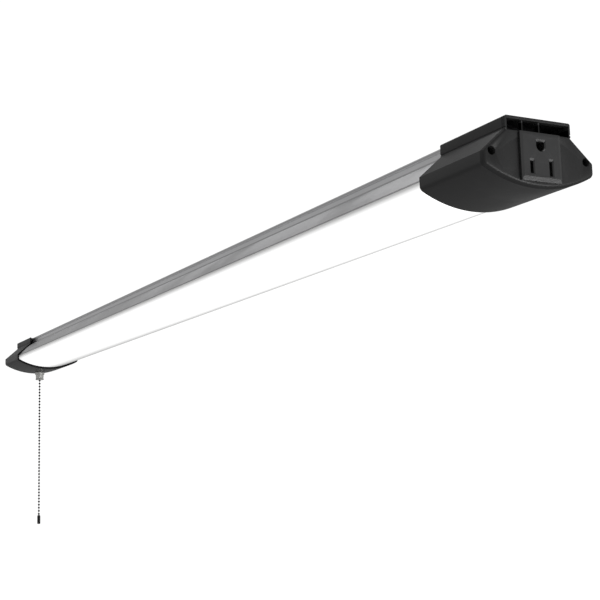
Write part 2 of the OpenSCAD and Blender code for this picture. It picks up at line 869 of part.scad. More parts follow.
// One blade opening of the outlet: h tall about the depth z
module slot_cut(y, z, w, h, x0) {
    block(x0, half_len + face_proud + over, y - w / 2, y + w / 2, -z - h / 2, -z + h / 2);
    front_bevel(y - w / 2, y + w / 2, -z - h / 2, -z + h / 2);
}

module ground_cut(x0) {
    x1 = half_len + face_proud;
    intersection() {
        translate([0, 0, -ground_z]) rod_x(x0, x1 + over, ground_r);
        block(x0, x1 + over, -ground_r, ground_r, -ground_z - ground_r, -ground_z + ground_flat_h);
    }
    block(x0, x1 + over, -ground_r, ground_r, -ground_z, -ground_z + ground_flat_h);
    front_bevel(-ground_r, ground_r, -ground_z, -ground_z + ground_flat_h);
    translate([x1 - slot_bevel, 0, -ground_z])
        rotate([0, 90, 0])
            cylinder(r1 = ground_r, r2 = ground_r + slot_bevel + over, h = slot_bevel + over);
}

module face_plate_outline(i, foot) {
    translate([-face_w / 2 + i, -face_bottom_z + foot])
        square([face_w - 2 * i, face_bottom_z - face_top_z - i - foot]);
}

module outlet_face() {
    neck_w = window_w - 2 * slip;
    wall_x = face_seat + face_proud - face_bevel_depth;
    color([0.24, 0.24, 0.25])
        difference() {
            union() {
                along_x(face_seat, wall_x) face_plate_outline(0, 0);
                hull() {
                    along_x(wall_x - sliver, wall_x) face_plate_outline(0, 0);
                    along_x(wall_x + face_bevel_depth - sliver, wall_x + face_bevel_depth)
                        face_plate_outline(face_bevel, face_foot_bevel);
                }
                block(base_x1, face_seat, -neck_w / 2, neck_w / 2,
                    -window_bottom_z + slip, -window_top_z - slip);
                for (y = arm_places)
                    block(face_seat - arm_back, face_seat + face_proud / 2, y - arm_w / 2, y + arm_w / 2,
                        -deck_z, -deck_z + arm_h);
                block(face_seat, face_seat + face_proud / 2, arm_places[0] - arm_w / 2,
                    arm_places[1] + arm_w / 2, -face_top_z - face_bevel, -deck_z);
            }
            slot_cut(-blade_spacing / 2, blade_z, blade_slot_w, hot_slot_h, base_x1 - over);
            slot_cut(blade_spacing / 2, blade_z, blade_slot_w, neutral_slot_h, base_x1 - over);
            ground_cut(base_x1 - over);
        }
}

// Pockets of the outlet body that hold the contacts
pocket_w = 4.6;
pocket_h = 9.6;
pocket_len = 16;
ground_pocket = 7.6;
tail_w = 3;
tail_t = 0.8;
tail_len = 4;

module outlet_base() {
    color([0.85, 0.85, 0.82])
        difference() {
            block(base_x0, base_x1, -base_w / 2, base_w / 2, -window_bottom_z + slip, -window_top_z - slip);
            for (s = [-1, 1]) {
                block(base_x1 - pocket_len, base_x1 + over, s * blade_spacing / 2 - pocket_w / 2,
                    s * blade_spacing / 2 + pocket_w / 2, -blade_z - pocket_h / 2, -blade_z + pocket_h / 2);
                block(base_x0 - over, base_x1, s * blade_spacing / 2 - tail_t / 2 - slip,
                    s * blade_spacing / 2 + tail_t / 2 + slip, -blade_z - tail_w / 2 - slip, -blade_z + tail_w / 2 + slip);
            }
            block(base_x1 - pocket_len, base_x1 + over, -ground_pocket / 2, ground_pocket / 2,
                -ground_z - ground_r - slip, -ground_z + ground_r + slip);
            block(base_x0 - over, base_x1, -tail_w / 2 - slip, tail_w / 2 + slip,
                -ground_z - tail_t / 2 - slip, -ground_z + tail_t / 2 + slip);
        }
}

// Two spring leaves with a tail through the back of the outlet body
leaf_t = 0.6;
leaf_gap = 2.4;
leaf_h = 8;
leaf_len = 14;
ground_leaf_gap = 5.6;
ground_leaf_h = 5;

module contact(gap, h) {
    back = base_x1 - pocket_len + slip;
    for (s = [-1, 1])
        block(back, back + leaf_len, s * (gap + leaf_t) / 2 - leaf_t / 2, s * (gap + leaf_t) / 2 + leaf_t / 2, -h / 2, h / 2);
    block(back, back + leaf_t, -gap / 2 - leaf_t, gap / 2 + leaf_t, -h / 2, h / 2);
}

module hot_contact() {
    color([0.8, 0.62, 0.3]) translate([0, -blade_spacing / 2, -blade_z]) {
        contact(leaf_gap, leaf_h - blade_slot_w / 2);
        block(base_x0 - tail_len, base_x1 - pocket_len + 2 * slip, -tail_t / 2, tail_t / 2, -tail_w / 2, tail_w / 2);
    }
}

module neutral_contact() {
    color([0.8, 0.62, 0.3]) translate([0, blade_spacing / 2, -blade_z]) {
        contact(leaf_gap, leaf_h);
        block(base_x0 - tail_len, base_x1 - pocket_len + 2 * slip, -tail_t / 2, tail_t / 2, -tail_w / 2, tail_w / 2);
    }
}

module ground_contact() {
    color([0.8, 0.62, 0.3]) translate([0, 0, -ground_z]) {
        contact(ground_leaf_gap, ground_leaf_h);
        block(base_x0 - tail_len, base_x1 - pocket_len + 2 * slip, -tail_w / 2, tail_w / 2, -tail_t / 2, tail_t / 2);
    }
}

// Bushing in the end wall of the switch cap that the power cord passes
cord_flange_t = 2;
cord_bush_nut_t = 3;

module cord_bushing() {
    color([0.1, 0.1, 0.1])
        translate([-half_len, cord_y, -cord_z])
            difference() {
                union() {
                    rod_x(-cord_flange_t, 0, cord_flange_r);
                    rod_x(-cord_flange_t, end_wall + cord_bush_nut_t, cord_r + cord_bush_wall);
                    rod_x(end_wall, end_wall + cord_bush_nut_t, cord_r + 2 * cord_bush_wall);
                }
                rod_x(-cord_flange_t - over, end_wall + cord_bush_nut_t + over, cord_r);
            }
}

// Terminal block under the deck of the switch cap
block_len = 20;
block_w = 9;
block_h = 10;
block_ways = 3;
block_y0 = 11.4;
block_gap = 0.7;
block_x0 = -half_len + switch_cap_len - seat_depth - stop_t - block_gap - block_len;
block_hole_r = 1.4;

module terminal_block() {
    way = block_len / block_ways;
    color([0.9, 0.88, 0.8])
        difference() {
            block(block_x0, block_x0 + block_len, block_y0, block_y0 + block_w, -chamber_top - block_h, -chamber_top);
            for (k = [0:block_ways - 1])
                translate([block_x0 + way * (k + 0.5), 0, -chamber_top - block_h * 2 / 3])
                    rod_y(block_y0 - over, block_y0 + block_w + over, block_hole_r);
        }
}

// Wires side by side on the LED deck, from the terminal block to the contacts of the outlet
wire_r = 0.9;
wire_step = 2;
wire_run_y = block_y0 + block_w + wire_step;
wire_run_z = led_deck_z - wire_r - 2 * slip;
wire_sides = 10;
corner_share = 0.25;
wire_bend = 4;

// Point on the way from a to b, near a
function step_from(a, b) = a + (b - a) * min(corner_share, wire_bend / norm(b - a));

// Line with every corner cut, its ends kept
function cut_corners(line) =
    concat(
        [line[0]],
        [for (k = [1:len(line) - 2]) each [step_from(line[k], line[k - 1]), step_from(line[k], line[k + 1])]],
        [line[len(line) - 1]]
    );

module wire_path(points) {
    line = cut_corners(cut_corners(points));
    polyhedron(points = tube_points(line, wire_r, wire_sides), faces = tube_faces(len(line), wire_sides));
}

// Way of wire number n, from its hole in the terminal block to the tail at [y, z]
function wire_points(n, y, z) =
    let (run_y = wire_run_y + n * wire_step)
    let (start_x = block_x0 + block_len * (1 - (n + 0.5) / block_ways))
    let (hole_z = -chamber_top - block_h * 2 / 3)
    let (tail_x = base_x0 - tail_len)
    let (turn_x = half_len - outlet_cap_len + seat_depth + stop_t + (1 + 2 * n) * wire_step)
    [
        [start_x, block_y0 + block_w / 2, hole_z],
        [start_x, run_y, hole_z],
        [start_x + 3 * wire_step, run_y, -wire_run_z],
        [turn_x, run_y, -wire_run_z],
        [tail_x - (4 - n) * wire_step, y, z],
        [tail_x + tail_len / 2, y, z]
    ];

module wire_hot() {
    color([0.1, 0.1, 0.1]) wire_path(wire_points(0, -blade_spacing / 2, -blade_z + tail_w / 2 + wire_r + slip));
}

module wire_neutral() {
    color([0.9, 0.9, 0.9]) wire_path(wire_points(1, blade_spacing / 2, -blade_z + tail_w / 2 + wire_r + slip));
}

module wire_ground() {
    color([0.1, 0.5, 0.2]) wire_path(wire_points(2, 0, -ground_z + tail_t / 2 + wire_r + slip));
}

// Earth screw on the LED deck
ground_screw_r = 1.4;
ground_screw_head_r = 3;
ground_screw_head_h = 2;
ground_screw_x = seat_face_switch + driver_in / 2;
ground_screw_y = -board_w / 4;

module ground_screw() {
    color([0.2, 0.6, 0.3])
        translate([ground_screw_x, ground_screw_y, -led_deck_z]) {
            translate([0, 0, -led_deck_t]) cylinder(r = ground_screw_r, h = led_deck_t);
            cylinder(r = ground_screw_head_r, h = ground_screw_head_h);
        }
}

// Pull switch: a case hung on its threaded neck
case_front = 15.7;
case_x0 = chain_x - case_front;
case_x1 = case_x0 + switch_len;
case_floor = -switch_bottom_z + switch_wall;
lever_slot_w = 1.5;
lever_w = 7;
barrel_r = 2;
barrel_half = 6.5;
finger_len = 3.2;
rotor_x = pivot_x - 1.5;
rotor_z = lever_z + 7.6;
drum_r = rotor_r - 0.7;
rotor_half = 5.5;

module switch_case() {
    color([0.12, 0.12, 0.13])
        difference() {
            block(case_x0, case_x1, -switch_w / 2, switch_w / 2, -switch_bottom_z, -switch_top_z);
            block(case_x0 + switch_wall, case_x1 - switch_wall, -switch_w / 2 + switch_wall, switch_w / 2 + over,
                case_floor, -switch_top_z - switch_wall);
            translate([chain_x, 0, -switch_bottom_z - over]) cylinder(r = neck_r + pin_gap, h = switch_wall + 2 * over);
            for (p = [[pivot_x, lever_z], [rotor_x, rotor_z]])
                translate([p[0], 0, -p[1]]) rod_y(-switch_w / 2 - over, switch_w / 2 + over, pin_r + pin_gap);
            for (y = leaf_places())
                block(case_x1 - switch_wall - over, case_x1 + over, y - slip, y + spring_leaf_w + slip,
                    -rotor_z - spring_leaf_t - slip, -rotor_z + slip);
        }
}

module switch_lid() {
    color([0.14, 0.14, 0.15])
        difference() {
            block(case_x0, case_x1, switch_w / 2, switch_w / 2 + switch_wall, -switch_bottom_z, -switch_top_z);
            for (p = [[pivot_x, lever_z], [rotor_x, rotor_z]])
                translate([p[0], 0, -p[1]]) rod_y(switch_w / 2 - over, switch_w / 2 + switch_wall + over, pin_r + pin_gap);
        }
}

module switch_pin(x, z) {
    translate([x, 0, -z]) rod_y(-switch_w / 2, switch_w / 2 + switch_wall, pin_r);
}

module lever_pin() {
    color([0.75, 0.75, 0.77]) switch_pin(pivot_x, lever_z);
}

module rotor_pin() {
    color([0.75, 0.75, 0.77]) switch_pin(rotor_x, rotor_z);
}

// Sheet lever with a forked tip, drawn level and then tilted to its place at rest
module pull_lever() {
    color([0.7, 0.7, 0.72])
        translate([pivot_x, 0, -lever_z]) rotate([0, lever_rest, 0])
            difference() {
                union() {
                    block(-lever_arm - lever_w / 2, 0, -lever_w / 2, lever_w / 2, -lever_t / 2, lever_t / 2);
                    rod_y(-barrel_half, barrel_half, barrel_r);
                    rotate([0, -lever_rest, 0])
                        block(-lever_t / 2, lever_t / 2, -barrel_half, -barrel_half / 3, -finger_len, 0);
                }
                rod_y(-barrel_half - over, barrel_half + over, pin_r + pin_gap);
                block(-lever_arm - lever_w, -lever_arm + lever_slot_w, -lever_slot_w / 2, lever_slot_w / 2,
                    -lever_t, lever_t);
            }
}

// Contact rotor: a drum with a ring of ratchet teeth
tooth_w_share = 0.5;

module contact_rotor() {
    color([0.85, 0.8, 0.6])
        translate([rotor_x, 0, -rotor_z])
            difference() {
                union() {
                    rod_y(-rotor_half, rotor_half, drum_r);
                    intersection() {
                        rod_y(-rotor_half, 0, rotor_r);
                        for (k = [0:rotor_teeth - 1])
                            rotate([0, 360 * k / rotor_teeth, 0])
                                block(0, 2 * rotor_r, -rotor_half, 0, 0, rotor_r * tooth_w_share / 2);
                    }
                }
                rod_y(-rotor_half - over, rotor_half + over, pin_r + pin_gap);
            }
}

// Two leaf springs beside the drum, with tails through the case
spring_leaf_t = 0.5;
spring_leaf_w = 1.8;
spring_leaf_h = 4.6;
spring_tail_len = 4;
spring_gap = 0.3;

function leaf_places() = [rotor_half / 8, rotor_half / 8 + 1.4 * spring_leaf_w];

module switch_contacts() {
    x = rotor_x + drum_r + spring_gap;
    color([0.8, 0.62, 0.3])
        for (y = leaf_places()) {
            block(x, x + spring_leaf_t, y, y + spring_leaf_w, -rotor_z - spring_leaf_t, -rotor_z + spring_leaf_h);
            block(x, case_x1 + spring_tail_len, y, y + spring_leaf_w, -rotor_z - spring_leaf_t, -rotor_z);
        }
}

// Neck, lock nut and bell mouth, all turned about the chain
flange_r = neck_r + 1.4;
flange_t = 1;
nut_top = cap_h + slip;
nut_bottom = nut_top + nut_h;
bell_bottom = nut_bottom + slip + bell_h;
neck_bottom = nut_bottom + bell_h / 2;
bell_lip_in = 0.7;

module neck_bushing() {
    color([0.78, 0.78, 0.76])
        translate([chain_x, 0, 0])
            difference() {
                union() {
                    translate([0, 0, case_floor]) cylinder(r = flange_r, h = flange_t);
                    translate([0, 0, -neck_bottom]) cylinder(r = neck_r, h = neck_bottom + case_floor);
                }
                translate([0, 0, -neck_bottom - over])
                    cylinder(r = neck_bore_r, h = neck_bottom + case_floor + flange_t + 2 * over);
            }
}

nut_bevel = 0.5;

module lock_nut() {
    bore = neck_r + pin_gap;
    color([0.75, 0.75, 0.73])
        translate([chain_x, 0, 0])
            rotate_extrude($fn = 64)
                polygon([
                    [bore, -nut_top], [nut_r - nut_bevel, -nut_top], [nut_r, -nut_top - nut_bevel],
                    [nut_r, -nut_bottom + nut_bevel], [nut_r - nut_bevel, -nut_bottom], [bore, -nut_bottom]
                ]);
}

// Profile of the bell mouth: a collar round the neck, a waist and a flared lip
module bell_mouth() {
    bore = neck_r + pin_gap;
    top = nut_bottom + slip;
    stop = neck_bottom + slip;
    flare = 8;
    rise = bell_bottom - stop - bell_lip_in;
    inner = [for (k = [0:flare]) let (t = k / flare)
        [neck_bore_r + (bell_r - bell_lip_in - neck_bore_r) * t * t, -stop - bell_lip_in / 2 - (rise + bell_lip_in / 2) * t]];
    outer = [for (k = [0:flare]) let (t = 1 - k / flare)
        [bell_waist_r + (bell_r - bell_waist_r) * t * t, -stop - (bell_bottom - bell_lip_in / 2 - stop) * t]];
    color([0.8, 0.8, 0.78])
        translate([chain_x, 0, 0])
            rotate_extrude($fn = 64)
                polygon(concat(
                    [[bore, -top], [bore, -stop], [neck_bore_r, -stop]],
                    inner,
                    [[bell_r - bell_lip_in, -bell_bottom], [bell_r - bell_lip_in / 4, -bell_bottom]],
                    outer,
                    [[bell_waist_r + bell_lip_in / 4, -top - bell_lip_in], [bell_waist_r + bell_lip_in / 4, -top]]
                ));
}

// Compression spring between the neck's flange and the lever, as one swept tube
spring_wire_r = 0.3;
spring_coil_r = 2.9;
spring_turns = 6;
spring_rings = 12;
spring_sides = 8;
spring_seat_z = -case_floor - flange_t;
spring_top_z = lever_hold_z + lever_t / 2 / cos(lever_rest)
    + (spring_coil_r + spring_wire_r) * tan(lever_rest) + slip;

// Points and faces of a closed tube of radius r along a line of points
function unit(v) = v / norm(v);
function tube_frame(line, k) =
    unit(line[min(k + 1, len(line) - 1)] - line[max(k - 1, 0)]);
function tube_ring(line, k, r, sides) =
    let (t = tube_frame(line, k))
    let (side = unit(cross(t, [0, 0, 1])))
    let (up = cross(side, t))
    [for (i = [0:sides - 1]) line[k] + r * (cos(360 * i / sides) * side + sin(360 * i / sides) * up)];
function tube_points(line, r, sides) =
    [for (k = [0:len(line) - 1]) each tube_ring(line, k, r, sides)];
function tube_faces(rings, sides) =
    concat(
        [[for (i = [0:sides - 1]) i]],
        [for (k = [0:rings - 2], i = [0:sides - 1]) let (j = (i + 1) % sides)
            [k * sides + i, (k + 1) * sides + i, (k + 1) * sides + j, k * sides + j]],
        [[for (i = [sides - 1:-1:0]) (rings - 1) * sides + i]]
    );

module return_spring() {
    steps = spring_turns * spring_rings;
    z0 = -spring_seat_z + spring_wire_r;
    z1 = -spring_top_z - spring_wire_r;
    line = [for (k = [0:steps]) let (a = 360 * k / spring_rings)
        [spring_coil_r * cos(a), spring_coil_r * sin(a), z0 + (z1 - z0) * k / steps]];
    color([0.7, 0.7, 0.72])
        translate([chain_x, 0, 0])
            polyhedron(points = tube_points(line, spring_wire_r, spring_sides), faces = tube_faces(len(line), spring_sides));
}

// Headed pin that the lever lifts and the first ball hangs on
pull_head_r = 1.5;
pull_rod_r = 0.35;
pull_head_z = lever_hold_z - lever_t / 2 - pull_head_r - 2 * slip;

module pull_pin() {
    color([0.75, 0.75, 0.77])
        translate([chain_x, 0, 0]) {
            translate([0, 0, -pull_head_z]) sphere(r = pull_head_r);
            translate([0, 0, -first_ball_z + head_off]) cylinder(r = pull_rod_r, h = first_ball_z - head_off - pull_head_z);
            translate([0, 0, -first_ball_z + head_off]) sphere(r = link_head_r, $fn = 32);
        }
}

// Hollow ball with a flared hole at its top and bottom
ball_flare = 0.12;

module ball() {
    difference() {
        sphere(r = ball_r);
        sphere(r = ball_in_r);
        for (m = [0, 1])
            mirror([0, 0, m]) translate([0, 0, hole_plane - ball_wall])
                cylinder(r1 = ball_hole_r, r2 = ball_hole_r + 2 * ball_flare, h = 3 * ball_wall);
    }
}

// Link: a wire with a head at each end, hung from a ball centred at its top
module link() {
    translate([0, 0, -head_off]) sphere(r = link_head_r, $fn = 32);
    translate([0, 0, -ball_pitch + head_off]) sphere(r = link_head_r, $fn = 32);
    translate([0, 0, -ball_pitch + head_off]) cylinder(r = link_r, h = ball_pitch - 2 * head_off, $fn = 24);
}

module balls(first_z, count) {
    for (k = [0:count - 1]) translate([chain_x, 0, -first_z - k * ball_pitch]) ball();
}

module links(first_z, count) {
    for (k = [0:1:count - 1]) translate([chain_x, 0, -first_z - k * ball_pitch]) link();
}

module chain_top_beads() {
    color([0.6, 0.6, 0.62]) balls(first_ball_z, top_balls);
}

module chain_top_links() {
    color([0.5, 0.5, 0.52]) links(first_ball_z, top_balls - 1);
}

module swivel_link_1() {
    color([0.5, 0.5, 0.52]) links(swivel_top_z, 1);
}

module swivel_bead() {
    color([0.6, 0.6, 0.62]) balls(swivel_bead_z, 1);
}

module swivel_link_2() {
    color([0.5, 0.5, 0.52]) links(swivel_bead_z, 1);
}

module chain_beads() {
    color([0.6, 0.6, 0.62]) balls(hang_first_z, hanging_balls);
}

module chain_links() {
    color([0.5, 0.5, 0.52]) links(hang_first_z, hanging_balls - 1);
}

// Turned end piece with a head in the last ball
end_neck_h = 1.4;
end_bevel = 0.6;

module chain_end() {
    top = -last_ball_z - ball_r - slip;
    color([0.7, 0.7, 0.7])
        translate([chain_x, 0, 0]) {
            translate([0, 0, top])
                rotate_extrude($fn = 48)
                    polygon([
                        [0, 0], [end_piece_r - end_bevel, 0], [end_piece_r, -end_neck_h],
                        [end_piece_r, -end_piece_len + end_bevel], [end_piece_r - end_bevel, -end_piece_len],
                        [0, -end_piece_len]
                    ]);
            translate([0, 0, -last_ball_z - head_off]) sphere(r = link_head_r, $fn = 32);
            translate([0, 0, top - end_bevel]) cylinder(r = link_r, h = -last_ball_z - head_off - top + end_bevel, $fn = 24);
        }
}

housing();
diffuser();
led_board(0);  // led_board_1
led_board(1);  // led_board_2
led_board(2);  // led_board_3
led_chips();
board_screws();
board_jumpers();
driver_case();
driver_cover();
driver_board();
driver_transformer();
driver_capacitors();
driver_terminals();
driver_screws();
outlet_cap();
outlet_cap_screws();
outlet_face();
outlet_base();
hot_contact();
neutral_contact();
ground_contact();
outlet_hanger_plate();
switch_cap();
switch_cap_screws();
switch_hanger_plate();
hanger_screws();
cord_bushing();
terminal_block();
wire_hot();
wire_neutral();
wire_ground();
ground_screw();
switch_case();
switch_lid();
neck_bushing();
lock_nut();
bell_mouth();
return_spring();
switch_contacts();
pull_lever();
lever_pin();
contact_rotor();
rotor_pin();
pull_pin();
chain_top_beads();
chain_top_links();
swivel_link_1();
swivel_bead();
swivel_link_2();
chain_beads();
chain_links();
chain_end();
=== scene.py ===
"""Looks of a hanging shop light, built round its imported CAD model.

The light hangs with its diffuser down: a grooved aluminium housing between two moulded caps, an
outlet in the end face of one cap and a ball-chain pull switch under the other. Most pieces are the
CAD nodes themselves with a material. The others are meshes with finer edges that stand for their
CAD nodes. Lengths are in metres, and angles in degrees where a name or its comment says so.
"""

import logging
import math
from dataclasses import dataclass, field
from enum import Enum
from typing import Callable, Sequence

import bmesh
import bpy
import numpy as np
from mathutils import Matrix, Vector


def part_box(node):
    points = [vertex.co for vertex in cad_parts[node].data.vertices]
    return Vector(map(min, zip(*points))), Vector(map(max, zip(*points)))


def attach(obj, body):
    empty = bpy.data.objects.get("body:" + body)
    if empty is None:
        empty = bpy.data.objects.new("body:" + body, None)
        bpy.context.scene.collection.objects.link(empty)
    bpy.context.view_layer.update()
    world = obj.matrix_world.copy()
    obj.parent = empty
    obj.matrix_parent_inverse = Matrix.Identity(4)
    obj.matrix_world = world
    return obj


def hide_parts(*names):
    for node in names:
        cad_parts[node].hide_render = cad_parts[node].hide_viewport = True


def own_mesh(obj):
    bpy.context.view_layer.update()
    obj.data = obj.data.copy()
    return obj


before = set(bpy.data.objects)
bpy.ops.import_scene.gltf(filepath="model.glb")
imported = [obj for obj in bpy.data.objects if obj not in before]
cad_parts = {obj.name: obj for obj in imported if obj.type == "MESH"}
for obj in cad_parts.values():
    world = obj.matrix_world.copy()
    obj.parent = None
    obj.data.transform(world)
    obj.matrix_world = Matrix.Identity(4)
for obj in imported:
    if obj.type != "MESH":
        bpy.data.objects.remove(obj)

MM = 0.001
LOG = logging.getLogger("shop_light")

# Fine textures, where a scale is in noise cells per metre
COARSE_DETAIL, COARSE_ROUGHNESS = 3.0, 0.6
FINE_DETAIL = 2.0
FINE_RATIO = 3.7                # scale of the finer noise over that of the coarse one
FINE_SHARE = 0.35               # share of the finer noise in the height
SLOW_SCALE, SLOW_DETAIL, SLOW_ROUGHNESS = 14.0, 4.0, 0.55
SLOW_SPAN = (0.32, 0.68)        # values of the slow noise between which the tone goes from 0 to 1

# Scuffs: two noises, each drawn out along another axis
SCUFF_STRETCHES = ((35.0, 420.0, 300.0), (420.0, 35.0, 300.0))
SCUFF_TURN = (0.3, 0.2, 0.5)    # turn of both patterns, in radians
SCUFF_DETAIL = 1.0
SCUFF_SPAN = (0.68, 0.74)       # values of the noise between which a mark sets in
WORN_GAIN, WORN_LIFT = 1.6, 0.01

# Masks of single finishes
WALL_GLOW = 0.24                # light of the diffuser's upper walls, as a share of its belly's
SHADE_LINE_CORE = 0.35                # share of a painted shade line's half width that is fully dark

# Meshes
SMOOTH_BELOW = 32.0             # angle over which an edge of a new mesh stays sharp, in degrees
EDGE_OVER = 28.0                # angle over which an edge of a copied mesh is an edge, in degrees
FLAT_BELOW = 0.6                # angle under which neighbouring triangles are joined, in degrees
MERGE = 0.002 * MM              # distance under which points are joined
MOST_CORNERS = 4                # corners over which a joined face is cut into triangles again
BEVEL_SEGMENTS = 2


class Grain(Enum):
    """Kinds of fine texture that a finish can have."""

    MOULDED = "moulded grain"
    DRAWN = "die lines"
    PLAIN = "fine mottle"


class Socket(Enum):
    """Types of socket that a shader group can have."""

    VECTOR = "NodeSocketVector"
    NUMBER = "NodeSocketFloat"
    COLOUR = "NodeSocketColor"


STRETCH = {
    Grain.MOULDED: (1.0, 1.0, 1.0),
    Grain.DRAWN: (0.004, 1.0, 1.0),
    Grain.PLAIN: (1.0, 1.0, 1.0),
}


# Colours

def grey(level: float) -> tuple[float, float, float, float]:
    """Gives the opaque grey of a linear value."""
    return (level, level, level, 1.0)


def tinted(colour: tuple[float, float, float], gain: float, lift: float = 0.0
           ) -> tuple[float, float, float, float]:
    """Gives an opaque colour whose channels are the given ones times gain plus lift, up to 1."""
    return (*(min(1.0, c * gain + lift) for c in colour), 1.0)


# Node graphs

class Graph:
    """A node tree with short calls to add and join its nodes."""

    def __init__(self, tree: bpy.types.NodeTree) -> None:
        """Keeps the tree that nodes are added to."""
        self.tree = tree

    def node(self, kind: str, **values: object) -> bpy.types.Node:
        """Adds a node and sets its properties and inputs.

        Args:
            kind: The node's Blender type name.
            values: Properties of the node, or default values of inputs, by name with spaces as
                underscores.

        Returns:
            The new node.
        """
        made = self.tree.nodes.new(kind)
        for name, value in values.items():
            if hasattr(made, name):
                setattr(made, name, value)
            else:
                made.inputs[name.replace("_", " ")].default_value = value
        return made

    def group(self, tree: bpy.types.NodeTree, place: bpy.types.NodeSocket,
              numbers: dict[str, float]) -> bpy.types.Node:
        """Adds a shader group that reads a place.

        Args:
            tree: The group.
            place: Object coordinates, for its input Vector.
            numbers: Values of its other inputs.

        Returns:
            The new node.
        """
        made = self.node("ShaderNodeGroup", node_tree=tree)
        self.join(place, made.inputs["Vector"])
        for name, number in numbers.items():
            made.inputs[name].default_value = number
        return made

    def axes(self, place: bpy.types.NodeSocket) -> bpy.types.bpy_prop_collection:
        """Splits a vector into its axes.

        Args:
            place: The vector.

        Returns:
            Sockets named X, Y and Z.
        """
        made = self.node("ShaderNodeSeparateXYZ")
        self.join(place, made.inputs["Vector"])
        return made.outputs

    def join(self, source: bpy.types.NodeSocket, target: bpy.types.NodeSocket) -> None:
        """Links an output to an input."""
        self.tree.links.new(source, target)

    def feed(self, value: object, target: bpy.types.NodeSocket) -> None:
        """Gives an input its value.

        Args:
            value: A socket to link, or a plain value.
            target: The input.
        """
        if isinstance(value, bpy.types.NodeSocket):
            self.join(value, target)
        else:
            target.default_value = value

    def maths(self, operation: str, first: object, second: object = 0.0) -> bpy.types.NodeSocket:
        """Adds a Math node.

        Args:
            operation: The node's operation.
            first: A socket or a number.
            second: A socket or a number.

        Returns:
            The node's output.
        """
        made = self.node("ShaderNodeMath", operation=operation)
        self.feed(first, made.inputs[0])
        self.feed(second, made.inputs[1])
        return made.outputs[0]

    def remap(self, value: bpy.types.NodeSocket, low: float, high: float, to_low: float = 0.0,
              to_high: float = 1.0) -> bpy.types.NodeSocket:
        """Maps a value smoothly from one range to another.

        Args:
            value: The socket to map.
            low: Start of the range that is read.
            high: End of the range that is read.
            to_low: Result at the start.
            to_high: Result at the end.

        Returns:
            The mapped socket.
        """
        made = self.node("ShaderNodeMapRange", interpolation_type="SMOOTHSTEP", From_Min=low,
                         From_Max=high, To_Min=to_low, To_Max=to_high)
        self.join(value, made.inputs["Value"])
        return made.outputs["Result"]

    def blend(self, amount: bpy.types.NodeSocket, first: object, second: object
              ) -> bpy.types.NodeSocket:
        """Mixes two colours.

        Args:
            amount: Share of the second colour.
            first: A colour or a socket.
            second: A colour or a socket.

        Returns:
            The mixed colour.
        """
        made = self.node("ShaderNodeMix", data_type="RGBA")
        self.join(amount, made.inputs["Factor"])
        for name, value in (("A", first), ("B", second)):
            slot = next(s for s in made.inputs if s.name == name and s.type == "RGBA")
            self.feed(value, slot)
        return next(s for s in made.outputs if s.type == "RGBA")


Fill = Callable[[Graph, bpy.types.Node, bpy.types.Node], None]


def shader_group(name: str, numbers: Sequence[str], outputs: dict[str, Socket], fill: Fill
                 ) -> bpy.types.NodeTree:
    """Builds a shader node group once.

    Args:
        name: Name of the group.
        numbers: Names of its number inputs, which come after the input Vector.
        outputs: Type of each output.
        fill: Function that adds the group's nodes between its two ends.

    Returns:
        The group.
    """
    if name in bpy.data.node_groups:
        return bpy.data.node_groups[name]
    tree = bpy.data.node_groups.new(name, "ShaderNodeTree")
    inputs = {"Vector": Socket.VECTOR, **{number: Socket.NUMBER for number in numbers}}
    for way, sockets in (("INPUT", inputs), ("OUTPUT", outputs)):
        for socket, kind in sockets.items():
            tree.interface.new_socket(socket, in_out=way, socket_type=kind.value)
    graph = Graph(tree)
    fill(graph, graph.node("NodeGroupInput"), graph.node("NodeGroupOutput"))
    return tree


def fill_texture(stretch: tuple[float, float, float]) -> Fill:
    """Makes the filler of a texture group.

    The height is noise on object coordinates, drawn out by the given stretch, plus a share of
    finer noise. The tone is a slow noise over the whole piece, which isn't drawn out.

    Args:
        stretch: Scale of the pattern along X, Y and Z, where a small number draws it out.

    Returns:
        A function for shader_group.
    """
    def fill(graph: Graph, start: bpy.types.Node, end: bpy.types.Node) -> None:
        """Adds the nodes between the group's two ends."""
        mapping = graph.node("ShaderNodeMapping", Scale=stretch)
        graph.join(start.outputs["Vector"], mapping.inputs["Vector"])
        coarse = graph.node("ShaderNodeTexNoise", Detail=COARSE_DETAIL, Roughness=COARSE_ROUGHNESS)
        fine = graph.node("ShaderNodeTexNoise", Detail=FINE_DETAIL)
        for noise in (coarse, fine):
            graph.join(mapping.outputs["Vector"], noise.inputs["Vector"])
        graph.join(start.outputs["Scale"], coarse.inputs["Scale"])
        finer = graph.maths("MULTIPLY", start.outputs["Scale"], FINE_RATIO)
        graph.join(finer, fine.inputs["Scale"])
        share = graph.maths("MULTIPLY", fine.outputs["Fac"], FINE_SHARE)
        graph.join(graph.maths("ADD", coarse.outputs["Fac"], share), end.inputs["Height"])
        slow = graph.node("ShaderNodeTexNoise", Scale=SLOW_SCALE, Detail=SLOW_DETAIL,
                          Roughness=SLOW_ROUGHNESS)
        graph.join(start.outputs["Vector"], slow.inputs["Vector"])
        graph.join(graph.remap(slow.outputs["Fac"], *SLOW_SPAN), end.inputs["Tone"])
    return fill


